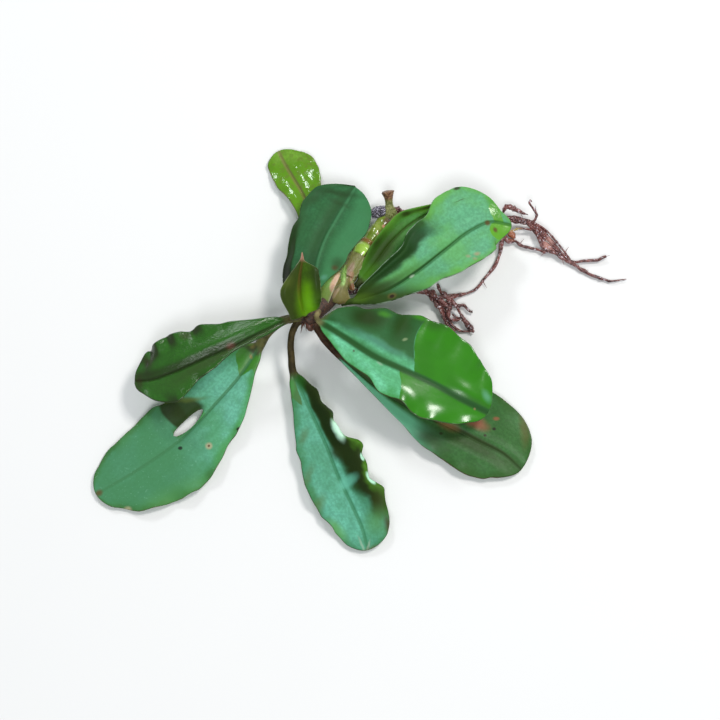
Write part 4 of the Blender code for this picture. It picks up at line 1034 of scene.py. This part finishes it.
def sheet(start, end, turn_from, turn_to, flare):
    """A thin strip wound about the stem, between two shares of its length and two angles.

    Its distance from the axis is the stem's radius, the stand-off, the flare and low wrinkles that run
    along it. Its section runs across the outside and back across the inside, and its margins are ragged.
    """
    steps = np.linspace(0, 1, SHEATH_STATIONS)
    across = np.linspace(-1, 1, SHEATH_COLUMNS)
    across = np.concatenate([across, across[::-1]])
    outside = np.where(np.arange(2 * SHEATH_COLUMNS) < SHEATH_COLUMNS, 1.0, -1.0)
    ragged = 0.05 * np.sin(17 * steps + 2) + 0.04 * np.sin(41 * steps)
    angle = np.radians((turn_from + turn_to) / 2 + (turn_to - turn_from) / 2 * (
        across[None, :] * (1 + ragged[:, None])))
    place = start + (end - start) * (steps[:, None] + 0.03 * np.sin(5 * angle) * steps[:, None])
    shape = place.shape
    centre, side, up = frames_along(RHIZOME_AXIS, place.reshape(-1))
    stem_radius = RHIZOME_RADIUS * curve_through(RHIZOME_WIDTHS, place.reshape(-1)).reshape(shape)
    wrinkles = 0.06 * np.sin(9 * angle + 3 * steps[:, None]) + 0.04 * np.sin(21 * angle)
    wall = SHEATH_THICKNESS / 2 * np.sqrt(np.clip(1 - np.abs(across) ** 16, 0, 1)) * outside
    stand_off = SHEATH_STAND_OFF + curve_through(flare, steps)[:, None]
    radius = stem_radius + stand_off + wrinkles + wall[None, :]
    outward = (np.cos(angle).reshape(-1, 1) * side + np.sin(angle).reshape(-1, 1) * up).reshape(*shape, 3)
    rings = centre.reshape(*shape, 3) + radius[..., None] * outward
    return closed_skin(rings, {"share": across[None, :] + 0 * angle})


def scrap(midrib, left, right, lift, curl):
    """A torn piece of a leaf base: a leaf's skin without a stalk, of which only one mark is kept."""
    verts, quads, ends, marks = leaf_skin(midrib, left, right, blade_from=0.0, tip_round=0.12,
                                          lift=lift, curl=curl, groove=0.0, stalk=(0.5, 0.5))
    return verts, quads, ends, {"share": marks["share"]}


UPPER_BASE = sheet(start=0.6, end=0.43, turn_from=38, turn_to=172, flare=[0.1, 0.15, 0.1, 0.0])
GREEN_STRIP = scrap(
    [(-5.2, 21.0, 9.9), (-5.8, 18.0, 10.9), (-5.6, 15.5, 11.4), (-5.5, 13.5, 11.5)],
    [0.2, 0.7, 0.9, 1.0, 0.9], [0.2, 0.7, 0.9, 1.0, 0.8], ((-20, -20), (-20, -20)), (0.1, 0.1))
BELL = scrap(
    [(-5.6, 15.6, 11.5), (-6.0, 13.4, 12.4), (-6.4, 11.6, 12.7), (-6.7, 10.0, 12.3), (-6.9, 8.9, 11.6)],
    [0.7, 1.2, 1.9, 2.7, 3.2, 3.4, 3.1], [0.8, 1.5, 2.1, 2.5, 2.8, 2.9, 2.6],
    ((-22, -26, -30), (-8, -12, -14)), (0.25, 0.15))
PINK_SIDE = scrap(
    [(-3.6, 22.4, 8.4), (-4.0, 20.0, 9.4), (-4.0, 17.4, 10.0), (-3.7, 15.4, 10.3), (-3.0, 13.4, 10.4)],
    [0.4, 0.8, 0.9, 0.8, 0.9, 0.8], [0.3, 0.6, 0.7, 0.8, 1.2, 0.9], ((-10, -10), (-30, -30)), (0.1, 0.2))
WEDGE = scrap(
    [(-12.2, 8.3, 10.8), (-11.2, 10.8, 12.0), (-9.9, 13.6, 12.7), (-8.2, 16.2, 12.8), (-6.5, 18.7, 12.2)],
    [1.5, 2.1, 2.4, 2.6, 2.7, 2.3, 1.5, 0.9, 0.3], [1.4, 1.8, 1.9, 1.9, 1.8, 1.5, 1.2, 0.8, 0.2],
    ((-10, -14, -10), (14, 18, 10)), (0.1, 0.1))

paper = Finish("papery_leaf_base", {"Specular IOR Level": 0.4, "Subsurface Weight": 0.2,
                                    "Subsurface Scale": 0.4 * MM, "Subsurface Radius": (1.0, 0.7, 0.3)})
clouds, fibres = paper.noise(2.5, 3), paper.noise(0.3, 3)
tone = paper.fade(clouds, (0.13, 0.13, 0.035), (0.21, 0.21, 0.07), 0.3, 0.7)
# In turn: the upper base, the pink side and a painted glint, the green strip, the bell and its dark rim,
# and the wedge and its pink inside
for place, size, turn, colour, strength in [
    ((-1.9, 20.6), (1.3, 3.0), -32, (0.17, 0.185, 0.05), 0.9),
    ((-3.9, 19.4), (0.8, 2.6), -25, (0.27, 0.18, 0.12), 0.85),
    ((-3.7, 17.4), (0.7, 1.6), -20, (0.34, 0.18, 0.11), 0.8),
    ((-3.2, 14.3), (0.9, 1.4), -10, (0.16, 0.05, 0.02), 0.85),
    ((-2.2, 14.2), (0.4, 0.4), 0, (0.8, 0.8, 0.7), 0.8),
    ((-5.8, 17.6), (0.9, 3.2), -5, (0.22, 0.42, 0.09), 0.9),
    ((-5.6, 15.5), (0.4, 1.2), -5, (0.40, 0.60, 0.22), 0.7),
    ((-6.2, 11.2), (2.8, 2.2), 0, (0.16, 0.13, 0.04), 0.7),
    ((-5.8, 8.8), (3.0, 0.9), 0, (0.10, 0.08, 0.015), 0.8),
    ((-10.4, 9.0), (2.2, 0.8), -10, (0.05, 0.022, 0.013), 0.9),
    ((-6.6, 8.6), (2.6, 0.6), 0, (0.07, 0.04, 0.02), 0.8),
    ((-7.8, 12.2), (0.5, 1.8), -30, (0.36, 0.26, 0.16), 0.7),
    ((-10.6, 12.6), (1.6, 4.0), -22, (0.16, 0.26, 0.05), 0.9),
    ((-10.2, 15.0), (1.2, 1.6), -30, (0.15, 0.32, 0.07), 0.7),
    ((-8.1, 15.3), (0.85, 2.6), -28, (0.62, 0.40, 0.27), 0.9),
    ((-8.7, 13.2), (0.7, 1.1), -10, (0.42, 0.24, 0.17), 0.7),
]:
    tone = paper.stain(tone, place, size, turn, 0.35, colour, strength, wobble=0.25)
to_margin = paper.math("ABSOLUTE", paper.mark("share"))
paper.feed("Base Color", paper.fade(to_margin, tone, (0.45, 0.50, 0.30), 0.8, 0.97, 0.5))
paper.feed("Roughness", 0.2 + 0.25 * fibres)
paper.emboss(fibres, 0.15)
piece("leaf_base_upper", [UPPER_BASE], paper, "sheath", "sheath_upper")
piece("leaf_base_middle", [BELL, GREEN_STRIP, PINK_SIDE], paper, "sheath", "sheath_middle")
piece("leaf_base_lower", [WEDGE], paper, "sheath", "sheath_lower")

# Dead scale: a scrap of an old leaf base caught under the crown, with the fibres that are left of others.
# Dead red-brown tissue, wet and limp.
# All of it hangs from the core of the crown.
FIBRE_SEED = 5
FIBRE_COUNT = 26
CORE_CENTRE, CORE_REACH = (-16.3, 6.0), 1.6
SCALE = scrap(
    [(-15.6, 4.6, 11.0), (-15.3, 3.6, 11.2), (-14.9, 2.6, 10.8), (-14.6, 1.6, 10.0)],
    [0.6, 1.2, 1.3, 1.1, 0.7], [0.6, 1.0, 1.2, 1.1, 0.7], ((-12, -12), (-12, -12)), (0.15, 0.15))


def fibres_of(rng):
    """Short tapered fibres round the near side of the crown's core. Each leaves it at a height and in a
    direction drawn at random, bends to a side by chance, and droops at its end."""
    for _ in range(FIBRE_COUNT):
        turn = rng.uniform(-2.9, 0.2)
        away = np.array([math.cos(turn), math.sin(turn), 0.0])
        start = np.array([*CORE_CENTRE, rng.uniform(8.6, 11.6)]) + CORE_REACH * away
        out = (away + (0, 0, rng.uniform(-0.4, 0.3))) * rng.uniform(1.2, 3.0)
        bend = rng.normal(0, 0.4, 3)
        route = [start, start + 0.5 * out + bend, start + out + 1.4 * bend - (0, 0, 0.5)]
        yield tube(route, [rng.uniform(0.16, 0.3), 0.16, 0.05], around=6, spacing=0.25)


dead = Finish("dead_scale", {"Specular IOR Level": 0.5})
grain = dead.noise(0.6, 3)
tone = dead.fade(grain, (0.035, 0.014, 0.008), (0.13, 0.05, 0.028))
dead.feed("Base Color", dead.stain(tone, centre=(-15.3, 4.0), size=(0.9, 1.2), turn=0, soft=0.5,
                                   colour=(0.24, 0.07, 0.045), strength=0.8, wobble=0.3))
dead.feed("Roughness", 0.22 + 0.3 * grain)
dead.emboss(grain, 0.15)
piece("dead_scale", [SCALE, *fibres_of(np.random.default_rng(FIBRE_SEED))], dead, "scale", "scale_front")

# Roots: two loose bundles from the underside of the stem, one below its node and one below its leaf bases.
# Wet, dark red-brown roots from half a millimetre to a good millimetre thick, wound round one another and
# forked, with knots and fine hairs. They lie on the surface.
ROOT_SEED = 11
HAIR_RADIUS = 0.09
# Points of a thin root's route, the length of one of its turns, and the length of root per set of hairs
WINDING_POINTS = 40
TURN_LENGTH = 13
HAIR_LENGTH = 40


def knots(rng):
    """A root's unevenness: slow swellings, which are waves along it and round it, and five short knots,
    which are narrow bells."""
    places, heights = rng.uniform(0, 1, 5), rng.uniform(0.1, 0.5, 5)
    phase = rng.uniform(0, 6, 2)

    def lumps(share, angle):
        along, round_it = np.sin(31 * share + phase[0]), np.sin(2 * angle + 40 * share + phase[1])
        bells = sum(height * bell((share - place) / 0.02) for place, height in zip(places, heights))
        return 1 + 0.12 * along + 0.08 * round_it + bells

    return lumps


def wound(route, away, turns, phase):
    """A route that winds about another at a distance from it, with so many turns over its length. The
    distance swells and shrinks five times a turn, and falls to a third towards both ends."""
    t = np.linspace(0, 1, WINDING_POINTS)
    centre, side, up = frames_along(route, t)
    angle = phase + 2 * math.pi * turns * t
    reach = away * (0.6 + 0.4 * np.sin(5 * angle + phase)) * np.sin(math.pi * np.clip(t, 0.02, 0.98)) ** 0.4
    return centre + reach[:, None] * (np.cos(angle)[:, None] * side + 0.5 * np.sin(angle)[:, None] * up)


def roots(node, strands, hairs=6):
    """Makes one root piece. Each strand is (route, radii, thin roots wound about it, their distance), and
    hairs is how many short, bent ones grow from each HAIR_LENGTH of it."""
    rng = np.random.default_rng([ROOT_SEED, len(node), len(strands)])
    skins = []
    for route, radii, thin, away in strands:
        skins.append(tube(route, radii, around=9, spacing=0.35, lumps=knots(rng)))
        length = length_of(route)
        for _ in range(thin):
            path = wound(route, away * rng.uniform(0.7, 1.2), length / TURN_LENGTH * rng.choice([-1, 1]),
                         rng.uniform(0, 6.3))
            start, end = rng.integers(0, 6), WINDING_POINTS - rng.integers(0, 8)
            skins.append(tube(path[start:end], [0.2, rng.uniform(0.24, 0.36), 0.16], around=7,
                              spacing=0.4, lumps=knots(rng)))
        for t in rng.uniform(0.1, 1, round(hairs * length / HAIR_LENGTH)):
            start = curve_through(route, t)[0]
            out = rng.normal(0, 1, 3) * (1, 1, 0.25)
            out *= rng.uniform(0.8, 2.2) / np.linalg.norm(out)
            bend = rng.normal(0, 0.25, 3) * (1, 1, 0.3)
            skins.append(tube([start, start + 0.5 * out + bend, start + out + 1.5 * bend],
                              [HAIR_RADIUS * 1.6, HAIR_RADIUS, HAIR_RADIUS * 0.5], around=5, spacing=0.3))
    piece(node.replace("root", "roots"), skins, root_skin, "root", node)


root_skin = Finish("wet_root", {"Specular IOR Level": 0.5})
clouds, grain = root_skin.noise(2.4, 3), root_skin.noise(0.35, 3)
tone = root_skin.fade(clouds, (0.040, 0.009, 0.010), (0.17, 0.050, 0.043))
# Pink flecks along the grain, painted highlights of the wet skin
tone = root_skin.fade(grain, tone, (0.46, 0.21, 0.19), 0.50, 0.64, 0.6)
for place, size, colour in [((43.0, 34.0), (1.8, 0.7), (0.42, 0.33, 0.10)),
                            ((42.4, 32.4), (1.2, 1.3), (0.36, 0.12, 0.05)),
                            ((52.7, 29.8), (1.2, 1.6), (0.50, 0.26, 0.22))]:
    tone = root_skin.stain(tone, place, size, turn=0, soft=0.5, colour=colour, strength=0.85, wobble=0.3)
# Pale specks: painted glints of beads of water, and grit
specks = root_skin.noise(0.6, 1)
root_skin.feed("Base Color", root_skin.fade(specks, tone, (0.78, 0.67, 0.75), 0.615, 0.70, 0.8))
root_skin.feed("Roughness", 0.04 + 0.22 * grain)
root_skin.emboss(grain, 0.25)

roots("root_upper", [
    ([(-0.4, 25.2, 2.4), (3.6, 26.6, 1.2), (8.9, 28.2, 0.9), (17.5, 29.0, 0.8), (26.1, 30.2, 0.9),
      (33.9, 32.5, 1.2), (38.4, 35.6, 2.4), (41.3, 37.2, 3.6), (44.7, 36.8, 3.3), (47.6, 36.3, 3.0),
      (50.7, 33.8, 2.7), (53.0, 31.2, 2.4), (55.0, 29.0, 2.0), (56.9, 26.7, 1.7), (60.1, 24.7, 1.2),
      (62.7, 25.1, 0.9), (65.3, 25.3, 0.8), (67.0, 25.4, 0.9), (68.4, 26.1, 1.1), (69.3, 26.4, 1.2)],
     [0.7, 0.65, 0.6, 0.6, 0.55, 0.6, 0.5, 0.55, 0.5, 0.42, 0.4], 2, 0.6),
    ([(36.0, 34.0, 2.0), (41.6, 36.5, 3.0), (45.3, 36.2, 2.8), (48.2, 35.4, 2.6), (51.0, 32.7, 2.4),
      (53.8, 30.1, 2.1), (56.1, 27.5, 1.8), (58.9, 25.3, 1.3)], [0.4, 0.45, 0.5, 0.4], 2, 0.7),
    ([(47.3, 36.6, 3.4), (50.4, 34.9, 3.2), (52.4, 33.4, 3.0), (54.4, 31.2, 2.6), (56.7, 28.4, 2.0),
      (58.6, 25.8, 1.5)], [0.25, 0.3, 0.25], 0, 0),
    ([(46.8, 35.8, 2.4), (49.0, 34.0, 2.2), (50.1, 31.6, 2.1), (51.3, 29.0, 1.9), (53.0, 27.9, 1.7),
      (55.2, 27.0, 1.5), (57.8, 25.6, 1.2)], [0.4, 0.5, 0.5, 0.35], 1, 0.5),
    ([(40.0, 33.4, 2.2), (42.4, 33.7, 2.2), (44.2, 34.4, 2.3), (45.9, 34.4, 2.2), (48.2, 34.1, 2.0)],
     [0.4, 0.3, 0.3, 0.3], 0, 0),
    ([(39.6, 36.2, 3.4), (41.3, 36.9, 3.6), (42.7, 37.6, 3.9), (44.1, 37.4, 3.8), (45.9, 36.8, 3.4)],
     [0.2, 0.22, 0.18], 0, 0)])
roots("root_upper_tail", [
    ([(48.0, 35.1, 1.6), (49.9, 32.7, 1.6), (51.9, 29.4, 1.5), (54.4, 27.7, 1.4), (57.0, 25.9, 1.2),
      (59.8, 24.2, 1.0), (62.3, 22.4, 0.8), (64.6, 21.1, 0.7), (67.4, 20.1, 0.7), (70.8, 19.2, 0.7),
      (73.1, 19.5, 0.6), (75.0, 19.8, 0.5)], [0.5, 0.6, 0.55, 0.5, 0.45, 0.4, 0.4, 0.25, 0.12], 2, 0.5),
    ([(48.5, 35.9, 2.0), (50.7, 31.7, 1.9), (53.3, 29.1, 1.6), (56.1, 26.8, 1.4), (58.7, 25.0, 1.1),
      (60.9, 23.3, 0.9), (62.9, 21.8, 0.8)], [0.3, 0.35, 0.35, 0.25], 1, 0.6)])
roots("root_upper_loop", [
    ([(37.5, 31.3, 1.2), (39.9, 32.2, 1.4), (41.3, 31.0, 1.3), (43.6, 30.9, 1.1), (44.8, 29.9, 1.0),
      (47.6, 29.0, 0.9), (50.7, 28.2, 1.0), (51.6, 27.7, 1.2), (53.0, 28.3, 1.4)],
     [0.5, 0.75, 0.45, 0.4, 0.4, 0.5], 1, 0.35),
    ([(41.0, 33.6, 1.8), (42.4, 32.8, 1.7), (43.2, 31.6, 1.5)], [0.4, 1.0, 0.5], 0, 0)])
roots("root_upper_curl", [
    ([(46.6, 35.9, 3.0), (47.6, 35.8, 3.2), (48.7, 36.3, 3.6), (49.4, 37.9, 4.1), (48.8, 39.2, 4.6),
      (47.8, 40.4, 5.1), (47.3, 41.3, 5.4), (47.8, 41.8, 5.4)],
     [0.3, 0.35, 0.42, 0.4, 0.3, 0.35], 0, 0)], hairs=3)
roots("root_upper_shard", [
    ([(40.4, 40.4, 3.9), (41.6, 40.5, 3.7), (43.0, 40.0, 3.5), (44.8, 39.1, 3.4), (45.9, 38.5, 3.5),
      (47.0, 38.2, 3.6)], [0.6, 0.75, 0.7, 0.45, 0.12], 0, 0),
    ([(39.8, 38.6, 3.8), (40.3, 39.8, 3.9), (40.7, 41.2, 3.9)], [0.25, 0.6, 0.2], 0, 0)], hairs=0)
roots("root_joining", [
    ([(38.2, 36.0, 3.2), (39.8, 34.0, 3.0), (39.8, 32.1, 2.6), (39.4, 30.1, 2.1), (38.9, 27.3, 1.5),
      (37.4, 23.6, 0.9), (34.6, 20.1, 0.8), (31.7, 16.6, 0.8), (27.4, 15.0, 0.9), (23.4, 14.7, 1.2),
      (21.7, 14.2, 1.5)], [0.5, 0.6, 0.55, 0.5, 0.42, 0.4, 0.45, 0.4], 1, 0.25)])
roots("root_lower", [
    ([(-5.5, 14.4, 5.2), (-2.8, 15.2, 3.2), (0.6, 16.2, 1.7), (4.4, 16.7, 1.0), (10.3, 16.6, 0.8),
      (16.3, 16.1, 1.0), (18.8, 14.9, 1.2), (21.1, 13.1, 1.3), (22.8, 10.7, 1.2), (23.9, 8.4, 1.1),
      (25.0, 6.3, 0.9), (27.2, 4.3, 0.7), (29.0, 4.2, 0.6), (30.7, 4.4, 0.6)],
     [0.7, 0.7, 0.65, 0.6, 0.6, 0.55, 0.5, 0.3, 0.25], 3, 1.0),
    ([(12.0, 16.4, 1.8), (16.3, 16.3, 1.8), (19.1, 14.1, 1.9), (21.1, 11.4, 1.8), (22.2, 9.4, 1.6),
      (22.9, 7.4, 1.4), (23.9, 5.7, 1.1), (25.8, 4.3, 0.8)], [0.4, 0.5, 0.55, 0.45, 0.3], 2, 0.6)])
roots("root_lower_branch", [
    ([(21.0, 17.9, 1.9), (21.9, 15.4, 2.3), (23.6, 13.9, 2.6), (24.4, 12.1, 2.4), (24.1, 9.8, 2.2),
      (24.1, 7.9, 1.8), (25.6, 7.4, 1.4), (27.4, 7.9, 1.1)], [0.4, 0.5, 0.6, 0.6, 0.5, 0.4, 0.35], 2, 0.8),
    ([(25.0, 9.1, 1.6), (26.1, 8.2, 1.5), (27.4, 8.0, 1.3), (26.4, 7.2, 1.2), (25.0, 7.5, 1.2)],
     [0.2, 0.25, 0.2], 0, 0)])
roots("root_lower_fork", [
    ([(23.6, 13.6, 1.4), (25.3, 12.5, 1.2), (26.8, 11.6, 1.1), (28.2, 11.9, 1.1), (29.4, 10.8, 1.0),
      (30.2, 10.0, 1.0), (30.9, 9.9, 1.0)], [0.6, 0.65, 0.5, 0.4, 0.3], 1, 0.4)])
roots("root_lower_long", [
    ([(25.0, 12.1, 2.6), (26.3, 11.0, 2.4), (27.3, 9.3, 2.1), (28.4, 7.3, 1.8), (29.8, 5.8, 1.7),
      (30.9, 4.5, 1.9)], [0.3, 0.35, 0.35, 0.6, 0.7, 0.5], 1, 0.3),
    ([(28.0, 7.7, 1.3), (29.2, 6.0, 1.2), (30.4, 4.5, 1.2), (31.2, 3.9, 1.3)],
     [0.3, 0.5, 0.6, 0.4], 1, 0.5)])
roots("root_lower_left", [
    ([(12.6, 16.6, 2.1), (16.0, 16.0, 2.3), (19.1, 15.1, 2.5), (21.0, 13.5, 2.7), (23.0, 11.8, 2.6),
      (24.1, 10.7, 2.4)], [0.4, 0.5, 0.6, 0.5], 2, 0.8),
    ([(18.2, 15.0, 2.7), (20.5, 13.9, 2.9), (22.7, 13.8, 2.8), (25.0, 13.8, 2.4), (27.3, 14.6, 1.6)],
     [0.3, 0.45, 0.5, 0.4, 0.3], 1, 0.5)])
roots("root_old_end", [
    ([(6.3, 38.0, 3.4), (7.8, 39.3, 3.8), (9.5, 39.7, 3.6), (11.2, 39.0, 3.0), (12.7, 38.0, 1.9)],
     [0.6, 0.8, 0.8, 0.7, 0.4], 3, 0.6),
    ([(6.1, 37.3, 3.2), (7.8, 38.4, 3.5), (9.8, 38.3, 3.2), (11.5, 38.0, 2.4)],
     [0.6, 0.8, 0.7, 0.4], 2, 0.5),
    ([(5.5, 35.5, 3.4), (6.9, 36.6, 3.9), (7.9, 38.0, 3.9), (8.9, 39.2, 3.3)],
     [0.4, 0.8, 0.8, 0.4], 2, 0.5),
    ([(6.1, 34.5, 3.4), (7.2, 35.4, 3.4), (8.4, 37.0, 3.2), (9.8, 37.6, 2.6)],
     [0.4, 0.6, 0.6, 0.3], 2, 0.4)])

# Setting: a plain pale floor, a soft lamp high at the right behind, a smaller one lower at the left
# behind, a broad one at the front and a pale sky.
# The camera looks down at the plant from its front, 75 degrees up, as the photograph does.
CAMERA_TARGET = np.array([-1.1, -5.6, 6.1])
CAMERA_DISTANCE = 600.0
CAMERA_ELEVATION = 75.0
FRAME_WIDTH = 201.6
SENSOR_WIDTH = 36.0
NEAREST_SEEN = 0.01
FLOOR_HALF = 3.0
SKY_COLOUR, SKY_STRENGTH = (0.93, 0.96, 1.0, 1.0), 0.42


def face_plant(name, data, azimuth, elevation, distance):
    """Puts a lamp or camera in a direction from the camera's target, so many millimetres away, turned to
    face it. Azimuth 0 is the front and 90 degrees the right."""
    turn, rise = math.radians(azimuth), math.radians(elevation)
    towards = Vector((math.sin(turn) * math.cos(rise), -math.cos(turn) * math.cos(rise), math.sin(rise)))
    obj = bpy.data.objects.new(name, data)
    obj.location = Vector(CAMERA_TARGET * MM) + towards * (distance * MM)
    obj.rotation_euler = towards.to_track_quat("Z", "Y").to_euler()
    bpy.context.scene.collection.objects.link(obj)
    return obj


def lamp(name, azimuth, elevation, distance, size, power, colour):
    """A square lamp of that size, in millimetres, and power, in watts."""
    data = bpy.data.lights.new(name, "AREA")
    data.size = size * MM
    data.energy = power
    data.color = colour
    face_plant(name, data, azimuth, elevation, distance)


lamp("sky_lamp", 128, 56, distance=900, size=210, power=4.5, colour=(1.0, 0.98, 0.95))
lamp("window_lamp", 203, 38, distance=900, size=140, power=1.9, colour=(0.93, 0.98, 1.0))
lamp("front_lamp", 0, 60, distance=1000, size=300, power=3.4, colour=(0.95, 0.98, 1.0))

ground = Finish("pale_floor", {"Specular IOR Level": 0.2})
ground.feed("Base Color", ground.mix(ground.noise(60, 2), (0.79, 0.79, 0.785), (0.805, 0.805, 0.80)))
ground.feed("Roughness", 0.8 + 0.1 * ground.noise(8, 2))
floor_mesh = bpy.data.meshes.new("floor")
corners = [(-FLOOR_HALF, -FLOOR_HALF, 0), (FLOOR_HALF, -FLOOR_HALF, 0), (FLOOR_HALF, FLOOR_HALF, 0),
           (-FLOOR_HALF, FLOOR_HALF, 0)]
floor_mesh.from_pydata(corners, [], [(0, 1, 2, 3)])
floor_mesh.materials.append(ground.material)
floor = bpy.data.objects.new("floor", floor_mesh)
bpy.context.scene.collection.objects.link(floor)

sky = bpy.data.worlds.new("pale_sky")
sky.use_nodes = True
background = sky.node_tree.nodes["Background"]
background.inputs["Color"].default_value = SKY_COLOUR
background.inputs["Strength"].default_value = SKY_STRENGTH
bpy.context.scene.world = sky
bpy.context.scene.view_settings.view_transform = "Standard"

camera_data = bpy.data.cameras.new("camera")
camera_data.sensor_width = SENSOR_WIDTH
camera_data.lens = SENSOR_WIDTH * CAMERA_DISTANCE / FRAME_WIDTH
camera_data.clip_start = NEAREST_SEEN
bpy.context.scene.camera = face_plant("camera", camera_data, 0, CAMERA_ELEVATION, CAMERA_DISTANCE)
